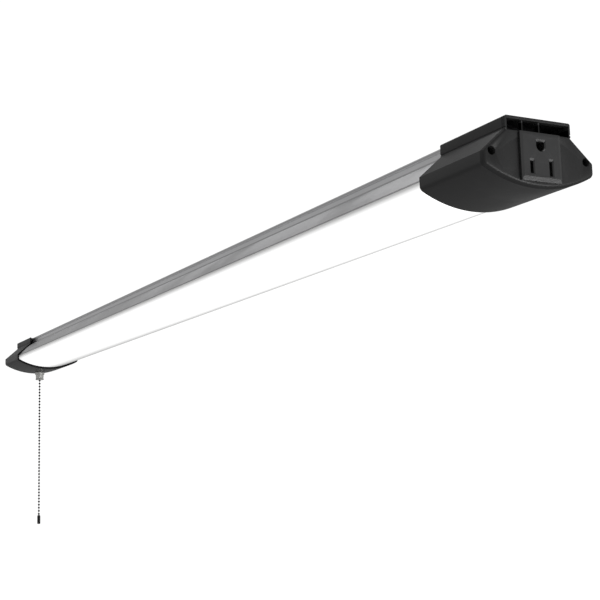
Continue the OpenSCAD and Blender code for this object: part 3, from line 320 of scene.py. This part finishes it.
def fill_scuffs(graph: Graph, start: bpy.types.Node, end: bpy.types.Node) -> None:
    """Fills the scuff group with sparse thin marks, the larger of two stretched noises.

    Args:
        graph: The group's graph.
        start: Its inputs Vector and Amount.
        end: Its output Mask.
    """
    marks = []
    for stretch in SCUFF_STRETCHES:
        mapping = graph.node("ShaderNodeMapping", Scale=stretch, Rotation=SCUFF_TURN)
        graph.join(start.outputs["Vector"], mapping.inputs["Vector"])
        noise = graph.node("ShaderNodeTexNoise", Scale=1.0, Detail=SCUFF_DETAIL)
        graph.join(mapping.outputs["Vector"], noise.inputs["Vector"])
        marks.append(graph.remap(noise.outputs["Fac"], *SCUFF_SPAN))
    both = graph.maths("MAXIMUM", *marks)
    graph.join(graph.maths("MULTIPLY", both, start.outputs["Amount"]), end.inputs["Mask"])


def fill_glow(graph: Graph, start: bpy.types.Node, end: bpy.types.Node) -> None:
    """Fills the glow group: full light on the belly of the diffuser, less on its upper walls.

    Args:
        graph: The group's graph.
        start: Its inputs Vector and the heights Full below and Dim above.
        end: Its output Colour.
    """
    rise = graph.node("ShaderNodeMapRange", interpolation_type="LINEAR")
    graph.join(graph.axes(start.outputs["Vector"])["Z"], rise.inputs["Value"])
    graph.join(start.outputs["Full below"], rise.inputs["From Min"])
    graph.join(start.outputs["Dim above"], rise.inputs["From Max"])
    light = graph.blend(rise.outputs["Result"], grey(1.0), grey(WALL_GLOW))
    graph.join(light, end.inputs["Colour"])


def fill_shade_lines(graph: Graph, start: bpy.types.Node, end: bpy.types.Node) -> None:
    """Fills the group of painted shade lines along the housing's grooves and creases.

    The mask is high in a narrow band at each of three heights z_i: it is the largest of
    1 - smoothstep(d_i), where d_i is |z - z_i| over the half width, from SHADE_LINE_CORE to 1.

    Args:
        graph: The group's graph.
        start: Its inputs Vector, First, Second, Third and Half width.
        end: Its output Mask.
    """
    height = graph.axes(start.outputs["Vector"])["Z"]
    total = None
    for name in ("First", "Second", "Third"):
        away = graph.maths("ABSOLUTE", graph.maths("SUBTRACT", height, start.outputs[name]))
        share = graph.maths("DIVIDE", away, start.outputs["Half width"])
        near = graph.remap(share, SHADE_LINE_CORE, 1.0, 1.0, 0.0)
        total = near if total is None else graph.maths("MAXIMUM", total, near)
    graph.join(total, end.inputs["Mask"])


def fill_painted_shade(graph: Graph, start: bpy.types.Node, end: bpy.types.Node) -> None:
    """Fills the group of painted shade in a cap's hollows, for a cap that stands along X on
    either side of the origin.

    The mask is painted shade: it is high inside the pocket on top of the cap and on the edge of
    the mouth that takes the housing, where little light reaches. The rim is the rounded band round
    its end face.

    Args:
        graph: The group's graph.
        start: Its inputs Vector, the pocket's half width, floor and roof, Mouth, Rim from and
            Rim to.
        end: Its outputs Mask, the painted shade, and Rim.
    """
    axes = graph.axes(start.outputs["Vector"])
    along = graph.maths("ABSOLUTE", axes["X"])
    across = graph.maths("ABSOLUTE", axes["Y"])
    between = graph.maths("LESS_THAN", across, start.outputs["Pocket half width"])
    above = graph.maths("GREATER_THAN", axes["Z"], start.outputs["Pocket floor"])
    below = graph.maths("LESS_THAN", axes["Z"], start.outputs["Pocket roof"])
    inside = graph.maths("MULTIPLY", between, graph.maths("MULTIPLY", above, below))
    mouth = graph.maths("LESS_THAN", along, start.outputs["Mouth"])
    graph.join(graph.maths("MAXIMUM", inside, mouth), end.inputs["Mask"])
    past = graph.maths("GREATER_THAN", along, start.outputs["Rim from"])
    short = graph.maths("LESS_THAN", along, start.outputs["Rim to"])
    graph.join(graph.maths("MULTIPLY", past, short), end.inputs["Rim"])


# Finishes

@dataclass(frozen=True)
class Finish:
    """A surface finish: one colour that shifts a little, with a fine texture and sparse scuffs."""

    name: str
    colour: tuple[float, float, float]
    metallic: float = 0.0
    roughness: float = 0.5
    specular: float = 0.5
    grain: Grain = Grain.PLAIN
    grain_scale: float = 900.0
    grain_depth: float = 0.02 * MM
    shift: float = 0.12
    rough_shift: float = 0.06
    scuffs: float = 0.0

    def build(self) -> bpy.types.Material:
        """Makes the material once.

        Returns:
            The material of this finish.
        """
        if self.name in bpy.data.materials:
            return bpy.data.materials[self.name]
        made = bpy.data.materials.new(self.name)
        made.use_nodes = True
        made.node_tree.nodes.clear()
        graph = Graph(made.node_tree)
        shader = graph.node("ShaderNodeBsdfPrincipled", Metallic=self.metallic,
                            Roughness=self.roughness, Specular_IOR_Level=self.specular)
        out = graph.node("ShaderNodeOutputMaterial")
        graph.join(shader.outputs["BSDF"], out.inputs["Surface"])
        self.dress(graph, shader, graph.node("ShaderNodeTexCoord").outputs["Object"])
        made.diffuse_color = tinted(self.colour, 1.0)
        return made

    def dress(self, graph: Graph, shader: bpy.types.Node, place: bpy.types.NodeSocket) -> None:
        """Adds the texture, colour and roughness of the surface.

        Args:
            graph: The material's graph.
            shader: Its Principled node.
            place: Object coordinates.
        """
        fine = shader_group(self.grain.value, ("Scale",),
                            {"Height": Socket.NUMBER, "Tone": Socket.NUMBER},
                            fill_texture(STRETCH[self.grain]))
        texture = graph.group(fine, place, {"Scale": self.grain_scale})
        bump = graph.node("ShaderNodeBump", Strength=1.0, Distance=self.grain_depth)
        graph.join(texture.outputs["Height"], bump.inputs["Height"])
        graph.join(bump.outputs["Normal"], shader.inputs["Normal"])
        marks = shader_group("scuffs", ("Amount",), {"Mask": Socket.NUMBER}, fill_scuffs)
        scuff = graph.group(marks, place, {"Amount": self.scuffs})
        tone = graph.blend(texture.outputs["Tone"], tinted(self.colour, 1.0 - self.shift),
                           tinted(self.colour, 1.0 + self.shift))
        worn = tinted(self.colour, WORN_GAIN, WORN_LIFT)
        graph.join(graph.blend(scuff.outputs["Mask"], tone, worn), shader.inputs["Base Color"])
        rough = graph.remap(texture.outputs["Tone"], 0.0, 1.0, self.roughness - self.rough_shift,
                            self.roughness + self.rough_shift)
        graph.join(rough, shader.inputs["Roughness"])


@dataclass(frozen=True)
class Glow(Finish):
    """The lit diffuser: milky plastic under a clear skin, full white where it faces the LEDs."""

    strength: float = 1.15
    full_below: float = -28.2 * MM
    dim_above: float = -23.6 * MM
    facing_blend: float = 0.5
    rim_span: tuple[float, float] = (0.87, 0.985)
    rim_glow: float = 0.2
    coat: float = 0.6
    coat_roughness: float = 0.15
    coat_ior: float = 1.5

    def dress(self, graph: Graph, shader: bpy.types.Node, place: bpy.types.NodeSocket) -> None:
        """Adds the light that the diffuser gives out to the surface of a plain finish.

        The clear skin lets less of it out where it is seen edge on. There the light falls off to
        the rim's glow, between the two Facing values of the rim's span.

        Args:
            graph: The material's graph.
            shader: Its Principled node.
            place: Object coordinates.
        """
        super().dress(graph, shader, place)
        heights = {"Full below": self.full_below, "Dim above": self.dim_above}
        lit = shader_group("glow across the diffuser", tuple(heights), {"Colour": Socket.COLOUR},
                           fill_glow)
        glow = graph.group(lit, place, heights)
        skin = graph.node("ShaderNodeLayerWeight", Blend=self.facing_blend)
        rim = graph.remap(skin.outputs["Facing"], *self.rim_span)
        graph.join(graph.blend(rim, glow.outputs["Colour"], grey(self.rim_glow)),
                   shader.inputs["Emission Color"])
        shader.inputs["Emission Strength"].default_value = self.strength
        shader.inputs["Coat Weight"].default_value = self.coat
        shader.inputs["Coat Roughness"].default_value = self.coat_roughness
        shader.inputs["Coat IOR"].default_value = self.coat_ior


@dataclass(frozen=True)
class DrawnWithShadeLines(Finish):
    """Extruded aluminium with painted shade: dark lines along the grooves and creases of its side.
    """

    # Heights of the painted shade lines, at the grooves and creases
    heights: tuple[float, float, float] = (-1.6 * MM, -6.1 * MM, -22.0 * MM)
    half_width: float = 0.75 * MM
    shade_line_share: float = 0.68

    def dress(self, graph: Graph, shader: bpy.types.Node, place: bpy.types.NodeSocket) -> None:
        """Adds the painted shade lines to the surface of a plain finish.

        Args:
            graph: The material's graph.
            shader: Its Principled node.
            place: Object coordinates.
        """
        super().dress(graph, shader, place)
        sizes = {**dict(zip(("First", "Second", "Third"), self.heights)),
                 "Half width": self.half_width}
        drawn = shader_group("painted shade lines at heights", tuple(sizes), {"Mask": Socket.NUMBER},
                             fill_shade_lines)
        lines = graph.group(drawn, place, sizes)
        # Painted shade: the base colour darkens in a band at each groove and crease
        before = shader.inputs["Base Color"].links[0].from_socket
        dark = tinted(self.colour, self.shade_line_share)
        graph.join(graph.blend(lines.outputs["Mask"], before, dark), shader.inputs["Base Color"])


@dataclass(frozen=True)
class PaintedShadeFinish(Finish):
    """Moulded plastic with painted shade in its pocket and mouth, and duller round its end face."""

    # Bounds of the painted shade: the pocket, and the band of the mouth nearer the middle than
    # Mouth
    pocket_half_width: float = 20.8 * MM
    pocket_floor: float = -8.0 * MM
    pocket_roof: float = -3.6 * MM
    mouth: float = 440.0 * MM
    rim_from: float = 497.0 * MM
    rim_to: float = 499.7 * MM
    rim_roughness: float = 0.4
    # Metallic share of the painted shade, which takes the shine out of it
    depth: float = 0.8

    def dress(self, graph: Graph, shader: bpy.types.Node, place: bpy.types.NodeSocket) -> None:
        """Adds painted shade, black in the hollows, and the dull rim to the surface of a plain
        finish.

        A metal with no colour reflects nothing, so the metallic share takes away most of the shine
        of the hollows too, which deepens the painted shade.

        Args:
            graph: The material's graph.
            shader: Its Principled node.
            place: Object coordinates.
        """
        super().dress(graph, shader, place)
        sizes = {"Pocket half width": self.pocket_half_width, "Pocket floor": self.pocket_floor,
                 "Pocket roof": self.pocket_roof, "Mouth": self.mouth,
                 "Rim from": self.rim_from, "Rim to": self.rim_to}
        dark = shader_group("painted shade in a cap's hollows", tuple(sizes),
                            {"Mask": Socket.NUMBER, "Rim": Socket.NUMBER}, fill_painted_shade)
        painted_shade = graph.group(dark, place, sizes)
        colour = shader.inputs["Base Color"].links[0].from_socket
        # Painted shade: the base colour goes to black in the pocket and at the mouth
        graph.join(graph.blend(painted_shade.outputs["Mask"], colour, grey(0.0)),
                   shader.inputs["Base Color"])
        # Painted shade: the metallic share takes the shine out of the same places
        graph.join(graph.maths("MULTIPLY", painted_shade.outputs["Mask"], self.depth),
                   shader.inputs["Metallic"])
        rough = shader.inputs["Roughness"].links[0].from_socket
        more = graph.maths("MULTIPLY", painted_shade.outputs["Rim"], self.rim_roughness)
        graph.join(graph.maths("ADD", rough, more), shader.inputs["Roughness"])


# Both plastics carry painted shade, black in the cap's pocket and at its mouth
CAP = PaintedShadeFinish("cap plastic", (0.0075, 0.0076, 0.0078), roughness=0.38, grain=Grain.MOULDED,
               grain_scale=2600.0, grain_depth=0.012 * MM, scuffs=0.2)
FACE = PaintedShadeFinish("outlet plastic", (0.014, 0.0142, 0.0145), roughness=0.3, specular=0.8,
                grain=Grain.MOULDED, grain_scale=2600.0, grain_depth=0.01 * MM, scuffs=0.2,
                rim_roughness=0.0, depth=0.45)
ALUMINIUM = DrawnWithShadeLines("satin aluminium", (0.80, 0.80, 0.81), metallic=1.0, roughness=0.35,
                  grain=Grain.DRAWN, grain_scale=1500.0, grain_depth=0.008 * MM, shift=0.06)
MILKY = Glow("milky diffuser", (0.3, 0.3, 0.297), roughness=0.35, grain_depth=0.0015 * MM,
             shift=0.01)
NICKEL = Finish("nickel plate", (0.62, 0.62, 0.60), metallic=0.7, roughness=0.4,
                grain_scale=1500.0, grain_depth=0.004 * MM, shift=0.1, scuffs=0.3)
# Nickel darkened to near black: painted shade on the chain's balls, links and end piece
SHADED_CHAIN_NICKEL = Finish("chain nickel darkened as shade", (0.05, 0.05, 0.05), metallic=1.0, roughness=0.42,
               grain_scale=1800.0, grain_depth=0.004 * MM, shift=0.15, scuffs=0.3)
ZINC = Finish("zinc plate", (0.62, 0.63, 0.64), metallic=1.0, roughness=0.4, grain_scale=700.0,
              grain_depth=0.006 * MM, shift=0.15)
# Black steel: the cap screws' own colour, and painted shade on the hanger plates in the pockets
BLACK_STEEL_AND_POCKET_SHADE = Finish("blackened steel and pocket shade", (0.015, 0.015, 0.016), metallic=1.0, roughness=0.45)
BRASS = Finish("brass", (0.62, 0.44, 0.16), metallic=1.0, roughness=0.32, grain_scale=1100.0,
               grain_depth=0.004 * MM, shift=0.15)
PALE_PLASTIC = Finish("pale plastic", (0.74, 0.73, 0.68), grain=Grain.MOULDED,
                      grain_scale=2200.0, shift=0.05)
DARK_PLASTIC = Finish("dark plastic", (0.03, 0.03, 0.032), grain=Grain.MOULDED,
                      grain_scale=2200.0)
RUBBER = Finish("soft bushing", (0.022, 0.022, 0.022), roughness=0.7, specular=0.3,
                grain_scale=1600.0)
WHITE_MASK = Finish("white solder mask", (0.82, 0.83, 0.81), roughness=0.35, grain_scale=500.0,
                    shift=0.03)
GREEN_MASK = Finish("green solder mask", (0.03, 0.19, 0.07), roughness=0.3, grain_scale=500.0)
PHOSPHOR = Finish("phosphor", (0.86, 0.66, 0.18), roughness=0.45, grain_scale=2500.0, shift=0.08)
TAPE = Finish("winding tape", (0.36, 0.27, 0.06), roughness=0.45, grain_scale=600.0, shift=0.2)
SLEEVE = Finish("capacitor sleeve", (0.03, 0.03, 0.11), roughness=0.3, grain_scale=700.0)
BLACK_WIRE = Finish("black insulation", (0.02, 0.02, 0.02), roughness=0.45, grain_scale=1500.0)
WHITE_WIRE = Finish("white insulation", (0.78, 0.78, 0.76), roughness=0.45, grain_scale=1500.0,
                    shift=0.05)
GREEN_WIRE = Finish("green insulation", (0.03, 0.24, 0.08), roughness=0.45, grain_scale=1500.0)


# Meshes

def smooth_by_angle(mesh: bpy.types.Mesh, degrees: float) -> None:
    """Shades a mesh smooth apart from its edges sharper than an angle."""
    mesh.shade_smooth()
    mesh.set_sharp_from_angle(angle=math.radians(degrees))


def linked_object(name: str, data: bpy.types.ID) -> bpy.types.Object:
    """Makes an object at the origin and puts it into the scene.

    Args:
        name: Name of the object.
        data: Its mesh, camera or lamp.

    Returns:
        The new object.
    """
    made = bpy.data.objects.new(name, data)
    bpy.context.scene.collection.objects.link(made)
    return made


def mesh_object(name: str, points: np.ndarray, faces: Sequence[Sequence[int]],
                sharp: float = SMOOTH_BELOW) -> bpy.types.Object:
    """Puts points and faces into a new object at the origin.

    Args:
        name: Name of the object and its mesh.
        points: Array of N by 3, in metres.
        faces: Point numbers of each face, anticlockwise seen from outside.
        sharp: Angle over which an edge stays sharp, in degrees.

    Returns:
        The new object.
    """
    mesh = bpy.data.meshes.new(name)
    mesh.from_pydata(points.tolist(), [], [list(map(int, f)) for f in faces])
    mesh.validate()
    smooth_by_angle(mesh, sharp)
    return linked_object(name, mesh)


def loop_faces(rings: int, sides: int) -> list[tuple[int, int, int, int]]:
    """Gives the quads between rings of points, each ring closed and the last joined to the first.

    Args:
        rings: Number of rings.
        sides: Points in each ring.

    Returns:
        Point numbers of the quads.
    """
    k, i = np.meshgrid(np.arange(rings), np.arange(sides), indexing="ij")
    j, m = (i + 1) % sides, (k + 1) % rings
    quads = np.stack([k * sides + i, k * sides + j, m * sides + j, m * sides + i], axis=-1)
    return [tuple(q) for q in quads.reshape(-1, 4)]


def revolved(name: str, profile: np.ndarray, centre: Vector, sides: int,
             wave: Callable[[np.ndarray, np.ndarray], np.ndarray], sharp: float
             ) -> bpy.types.Object:
    """Turns a closed profile about an upright axis.

    The surface is P(u, v) = centre + (r cos v, r sin v, z(u)), where r is r(u) plus a wave in v.
    The profile runs anticlockwise with r to the right and z up, so its faces point outwards.

    Args:
        name: Name of the object.
        profile: N by 2 array of radius and height.
        centre: Point on the axis.
        sides: Steps round the axis.
        wave: Gives what is added to the radius, from the grids of profile number and turn.
        sharp: Angle over which an edge stays sharp, in degrees.

    Returns:
        The new object.
    """
    turn = np.linspace(0.0, 2.0 * np.pi, sides, endpoint=False)
    number, angle = np.meshgrid(np.arange(len(profile)), turn, indexing="xy")
    radius = profile[number, 0] + wave(number, angle)
    points = np.stack([radius * np.cos(angle), radius * np.sin(angle), profile[number, 1]], axis=-1)
    points += np.array(centre)
    faces = [tuple(reversed(f)) for f in loop_faces(sides, len(profile))]
    return mesh_object(name, points.reshape(-1, 3), faces, sharp)


def dressed_copy(node: str, bevel: float, edge_over: float = EDGE_OVER,
                 crease: float = EDGE_OVER) -> bpy.types.Object:
    """Copies a CAD node's mesh, joins its triangles into faces and rounds its edges.

    Args:
        node: Name of the node.
        bevel: Width of the rounding, or 0 for none.
        edge_over: Angle over which an edge is rounded, in degrees.
        crease: Angle over which an edge stays sharp in the shading, in degrees.

    Returns:
        The new object, which stands for the node.
    """
    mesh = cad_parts[node].data.copy()
    mesh.name = f"{node}_skin"
    work = bmesh.new()
    work.from_mesh(mesh)
    bmesh.ops.remove_doubles(work, verts=work.verts, dist=MERGE)
    bmesh.ops.dissolve_limit(work, angle_limit=math.radians(FLAT_BELOW), verts=work.verts,
                             edges=work.edges, delimit={"NORMAL"})
    bmesh.ops.triangulate(work, faces=[f for f in work.faces if len(f.verts) > MOST_CORNERS])
    work.to_mesh(mesh)
    work.free()
    mesh.materials.clear()
    made = linked_object(f"{node}_skin", mesh)
    smooth_by_angle(mesh, crease)
    if bevel > 0.0:
        rounding = made.modifiers.new("edge rounding", "BEVEL")
        rounding.width = bevel
        rounding.segments = BEVEL_SEGMENTS
        rounding.limit_method = "ANGLE"
        rounding.angle_limit = math.radians(edge_over)
        rounding.use_clamp_overlap = True
        rounding.harden_normals = True
        rounding.miter_outer = "MITER_ARC"
    return made


# Sub-assemblies

@dataclass
class Assembly:
    """A group of pieces that are dressed together."""

    title: str
    pieces: list[str] = field(default_factory=list, init=False)

    def paint(self, finish: Finish, *nodes: str) -> None:
        """Gives CAD nodes a finish.

        Args:
            finish: The finish.
            nodes: Names of the nodes.
        """
        material = finish.build()
        for node in nodes:
            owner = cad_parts[node]
            owner.data.materials.clear()
            owner.data.materials.append(material)
        self.pieces.extend(nodes)

    def settle(self, piece: bpy.types.Object, finish: Finish, body: str, slot: str,
               *nodes: str) -> None:
        """Finishes a new piece and hands it to the frame.

        Args:
            piece: The piece.
            finish: Its finish.
            body: CAD body that it rides on.
            slot: Not used.
            nodes: CAD nodes that it stands for.
        """
        piece.data.materials.append(finish.build())
        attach(piece, body)
        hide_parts(*nodes)
        self.pieces.append(piece.name)

    def build(self) -> None:
        """Builds and dresses the pieces."""
        raise NotImplementedError


@dataclass
class Housing(Assembly):
    """The aluminium extrusion between the caps."""

    title: str = "housing"
    edge: float = 0.3 * MM

    def build(self) -> None:
        """Rounds the edges of the extrusion and gives it its die-line grain and painted shade
        lines.
        """
        self.settle(dressed_copy("housing", self.edge), ALUMINIUM, "light", "housing", "housing")


@dataclass
class Diffuser(Assembly):
    """The lit lens under the LED boards."""

    title: str = "diffuser"
    edge: float = 0.15 * MM
    edge_over: float = 40.0

    def build(self) -> None:
        """Rounds the edges of the lens and lights it."""
        lens = dressed_copy("diffuser", self.edge, edge_over=self.edge_over)
        self.settle(lens, MILKY, "light", "diffuser", "diffuser")


@dataclass
class EndCaps(Assembly):
    """The two moulded caps with their screws and hanger plates."""

    title: str = "end caps"
    edge: float = 0.35 * MM
    edge_over: float = 30.0

    def build(self) -> None:
        """Rounds the moulded edges of both caps, whose plastic has painted shade in its pocket and
        mouth, and paints what they hold, the hanger plates black as painted shade.
        """
        for node in ("outlet_cap", "switch_cap"):
            cap = dressed_copy(node, self.edge, edge_over=self.edge_over)
            self.settle(cap, CAP, "light", "cap", node)
        self.paint(BLACK_STEEL_AND_POCKET_SHADE, "outlet_cap_screws", "switch_cap_screws")
        # Painted shade: the hanger plates are black because the pockets they sit in are dark
        self.paint(BLACK_STEEL_AND_POCKET_SHADE, "outlet_hanger_plate", "switch_hanger_plate")
        self.paint(ZINC, "hanger_screws")


@dataclass
class Outlet(Assembly):
    """The outlet in the end face of one cap."""

    title: str = "outlet"
    edge: float = 0.2 * MM
    crease: float = 8.0

    def build(self) -> None:
        """Rounds the outlet's face and paints its inside."""
        face = dressed_copy("outlet_face", self.edge, crease=self.crease)
        self.settle(face, FACE, "light", "face", "outlet_face")
        self.paint(DARK_PLASTIC, "outlet_base")
        self.paint(BRASS, "hot_contact", "neutral_contact", "ground_contact")


@dataclass
class PullSwitch(Assembly):
    """The pull switch under the other cap, from its case to its bell mouth."""

    title: str = "pull switch"
    bore_share: float = 0.7
    bevel: float = 0.5 * MM
    knurls: int = 40
    knurl_depth: float = 0.14 * MM
    knurl_sides: int = 4
    nut_crease: float = 40.0
    spring_keep: float = 0.4

    def nut(self) -> bpy.types.Object:
        """Makes the knurled lock nut.

        Returns:
            The nut.
        """
        low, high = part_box("lock_nut")
        centre = Vector(((low.x + high.x) / 2.0, 0.0, 0.0))
        outer = (high.x - low.x) / 2.0
        bore, shoulder = outer * self.bore_share, outer - self.bevel
        profile = np.array([
            (bore, low.z), (shoulder, low.z), (outer, low.z + self.bevel),
            (outer, high.z - self.bevel), (shoulder, high.z), (bore, high.z),
        ])
        on_rim = profile[:, 0] == outer

        def knurl(number: np.ndarray, angle: np.ndarray) -> np.ndarray:
            """Lowers the rim between its ridges, by the depth times (1 - cos(knurls v)) / 2."""
            fall = -self.knurl_depth * (0.5 - 0.5 * np.cos(self.knurls * angle))
            return np.where(on_rim[number], fall, 0.0)

        return revolved("lock_nut_skin", profile, centre, self.knurls * self.knurl_sides, knurl,
                        self.nut_crease)

    def spring(self) -> None:
        """Dresses the return spring, which the lever presses onto its seat with the pull."""
        coil = dressed_copy("return_spring", 0.0)
        self.settle(coil, ZINC, "light", "steel", "return_spring")
        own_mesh(coil)

    def build(self) -> None:
        """Makes the nut and the spring and paints the rest of the switch."""
        self.settle(self.nut(), NICKEL, "light", "nickel", "lock_nut")
        self.spring()
        self.paint(NICKEL, "neck_bushing", "bell_mouth")
        self.paint(DARK_PLASTIC, "switch_case", "switch_lid")
        self.paint(ZINC, "pull_lever", "lever_pin", "rotor_pin", "pull_pin")
        self.paint(PALE_PLASTIC, "contact_rotor")
        self.paint(BRASS, "switch_contacts")


@dataclass
class PullChain(Assembly):
    """The ball chain that hangs from the switch."""

    title: str = "pull chain"

    def build(self) -> None:
        """Paints the balls, their links and the end piece in nickel darkened as painted shade."""
        self.paint(SHADED_CHAIN_NICKEL, "chain_top_beads", "chain_top_links", "swivel_link_1", "swivel_bead",
                   "swivel_link_2", "chain_beads", "chain_links", "chain_end")


@dataclass
class Electrics(Assembly):
    """What is inside the housing and the caps, apart from the outlet and the pull switch."""

    title: str = "electrics"
    finishes: dict[str, Finish] = field(default_factory=lambda: {
        "led_board_1": WHITE_MASK, "led_board_2": WHITE_MASK, "led_board_3": WHITE_MASK,
        "led_chips": PHOSPHOR, "board_screws": ZINC, "board_jumpers": PALE_PLASTIC,
        "driver_case": ZINC, "driver_cover": ZINC, "driver_board": GREEN_MASK,
        "driver_transformer": TAPE, "driver_capacitors": SLEEVE, "driver_terminals": PALE_PLASTIC,
        "driver_screws": ZINC, "cord_bushing": RUBBER, "terminal_block": PALE_PLASTIC,
        "wire_hot": BLACK_WIRE, "wire_neutral": WHITE_WIRE, "wire_ground": GREEN_WIRE,
        "ground_screw": ZINC,
    })

    def build(self) -> None:
        """Paints each node."""
        for node, finish in self.finishes.items():
            self.paint(finish, node)


# Studio

@dataclass(frozen=True)
class SoftBox:
    """A rectangular lamp that faces a point from a distance along a direction."""

    name: str
    target: tuple[float, float, float]
    direction: tuple[float, float, float]
    distance: float
    size: tuple[float, float]
    power: float

    def build(self) -> None:
        """Adds the lamp, with its power in watts and its size as width and height."""
        data = bpy.data.lights.new(self.name, "AREA")
        data.shape = "RECTANGLE"
        data.size, data.size_y = self.size
        data.energy = self.power
        made = linked_object(self.name, data)
        target = Vector(self.target)
        place = target + Vector(self.direction) * self.distance
        turn = (target - place).to_track_quat("-Z", "Y").to_matrix().to_4x4()
        made.matrix_world = Matrix.Translation(place) @ turn


MIDDLE = (0.0, 0.0, 0.0)
NEAR_END = (0.5, 0.0, -0.02)
SOFT_BOXES = (
    SoftBox("overhead", MIDDLE, direction=(0.1, -0.5, 2.0), distance=1.0, size=(2.6, 2.0),
            power=24.0),
    SoftBox("low front", NEAR_END, direction=(0.86, 0.46, -0.20), distance=1.6, size=(0.8, 0.16),
            power=4.6),
    SoftBox("under front", NEAR_END, direction=(0.61, 0.46, -0.65), distance=1.6, size=(0.6, 0.6),
            power=4.5),
)


@dataclass
class Studio:
    """Camera, floor and soft light.

    The spans of the sky hold the range of direction that is read and the strengths at its ends.
    """

    camera_mm: tuple[float, float, float] = (995.20, -406.70, -194.31)
    heading_deg: float = 62.302
    rise_deg: float = -9.037
    roll_deg: float = -1.603
    focal_px: float = 1213.17
    image_px: float = 600.0
    sensor_mm: float = 36.0
    clip: tuple[float, float] = (0.05, 300.0)
    floor_z: float = -2.9
    floor_r: float = 60.0
    floor_sides: int = 96
    floor_noise: float = 0.6
    floor_greys: tuple[float, float] = (0.90, 0.92)
    floor_glow: float = 0.9
    floor_roughness: float = 0.9
    backdrop: float = 1.05
    sky_horizon: tuple[float, float, float, float] = (-0.2, 0.1, 0.22, 0.40)
    sky_overhead: tuple[float, float, float, float] = (0.15, 0.5, 0.0, 0.12)
    sky_front: tuple[float, float, float, float] = (0.35, 0.95, 0.0, 0.07)
    front_share: float = 0.7

    def camera(self) -> None:
        """Sets the camera at the photograph's viewing angle.

        The camera looks against the direction (sin a cos e, -cos a cos e, sin e), where a is its
        heading and e its rise, and is rolled about it.
        """
        a, e, r = (math.radians(d) for d in (self.heading_deg, self.rise_deg, self.roll_deg))
        back = Vector((math.sin(a) * math.cos(e), -math.cos(a) * math.cos(e), math.sin(e)))
        level = Vector((math.cos(a), math.sin(a), 0.0))
        rise = back.cross(level)
        right = level * math.cos(r) + rise * math.sin(r)
        up = rise * math.cos(r) - level * math.sin(r)
        turn = Matrix((right, up, back)).transposed().to_4x4()
        data = bpy.data.cameras.new("camera")
        data.sensor_width = self.sensor_mm
        data.lens = self.focal_px / self.image_px * self.sensor_mm
        data.clip_start, data.clip_end = self.clip
        made = linked_object("camera", data)
        made.matrix_world = Matrix.Translation(Vector(self.camera_mm) * MM) @ turn
        bpy.context.scene.camera = made

    def floor(self) -> None:
        """Lays the pale floor, a disc far below the light."""
        turn = np.linspace(0.0, 2.0 * np.pi, self.floor_sides, endpoint=False)
        rim = np.stack([np.cos(turn), np.sin(turn)], axis=1) * self.floor_r
        points = np.column_stack([rim, np.full(len(turn), self.floor_z)])
        made = mesh_object("floor", points, [list(range(len(turn)))])
        material = bpy.data.materials.new("pale floor")
        material.use_nodes = True
        graph = Graph(material.node_tree)
        shader = material.node_tree.nodes["Principled BSDF"]
        shader.inputs["Roughness"].default_value = self.floor_roughness
        noise = graph.node("ShaderNodeTexNoise", Scale=self.floor_noise, Detail=FINE_DETAIL)
        graph.join(graph.node("ShaderNodeTexCoord").outputs["Object"], noise.inputs["Vector"])
        pale = graph.blend(noise.outputs["Fac"], *(grey(level) for level in self.floor_greys))
        graph.join(pale, shader.inputs["Base Color"])
        graph.join(pale, shader.inputs["Emission Color"])
        shader.inputs["Emission Strength"].default_value = self.floor_glow
        made.data.materials.append(material)
        made.visible_glossy = False

    def sky(self) -> None:
        """Sets a white background, and for the light on the object a soft grey one.

        The soft one is brightest near the horizon and dimmer below and overhead, and a little
        brighter towards +X and +Y, which the end face and the far side look at.
        """
        world = bpy.data.worlds.new("studio")
        bpy.context.scene.world = world
        world.use_nodes = True
        world.node_tree.nodes.clear()
        graph = Graph(world.node_tree)
        axes = graph.axes(graph.node("ShaderNodeTexCoord").outputs["Generated"])
        low = graph.remap(axes["Z"], *self.sky_horizon)
        high = graph.remap(axes["Z"], *self.sky_overhead)
        ahead = graph.maths("ADD", *(graph.maths("MULTIPLY", axes[name], self.front_share)
                                     for name in ("X", "Y")))
        front = graph.remap(ahead, *self.sky_front)
        strength = graph.maths("ADD", graph.maths("SUBTRACT", low, high), front)
        soft = graph.node("ShaderNodeBackground", Color=grey(1.0))
        graph.join(strength, soft.inputs["Strength"])
        white = graph.node("ShaderNodeBackground", Color=grey(1.0), Strength=self.backdrop)
        mix = graph.node("ShaderNodeMixShader")
        graph.join(graph.node("ShaderNodeLightPath").outputs["Is Camera Ray"], mix.inputs["Fac"])
        graph.join(soft.outputs["Background"], mix.inputs[1])
        graph.join(white.outputs["Background"], mix.inputs[2])
        out = graph.node("ShaderNodeOutputWorld")
        graph.join(mix.outputs["Shader"], out.inputs["Surface"])

    def build(self) -> None:
        """Sets up the whole studio."""
        settings = bpy.context.scene.view_settings
        settings.view_transform = "Standard"
        settings.look = "None"
        self.camera()
        self.floor()
        self.sky()
        for box in SOFT_BOXES:
            box.build()


def main() -> None:
    """Builds the studio and every sub-assembly and names each piece in the log."""
    logging.basicConfig(level=logging.INFO, format="%(message)s")
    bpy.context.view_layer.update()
    Studio().build()
    for assembly in (Housing(), Diffuser(), EndCaps(), Outlet(), PullSwitch(), PullChain(),
                     Electrics()):
        assembly.build()
        for piece in assembly.pieces:
            LOG.info("%s: %s", assembly.title, piece)


if __name__ == "__main__":
    main()
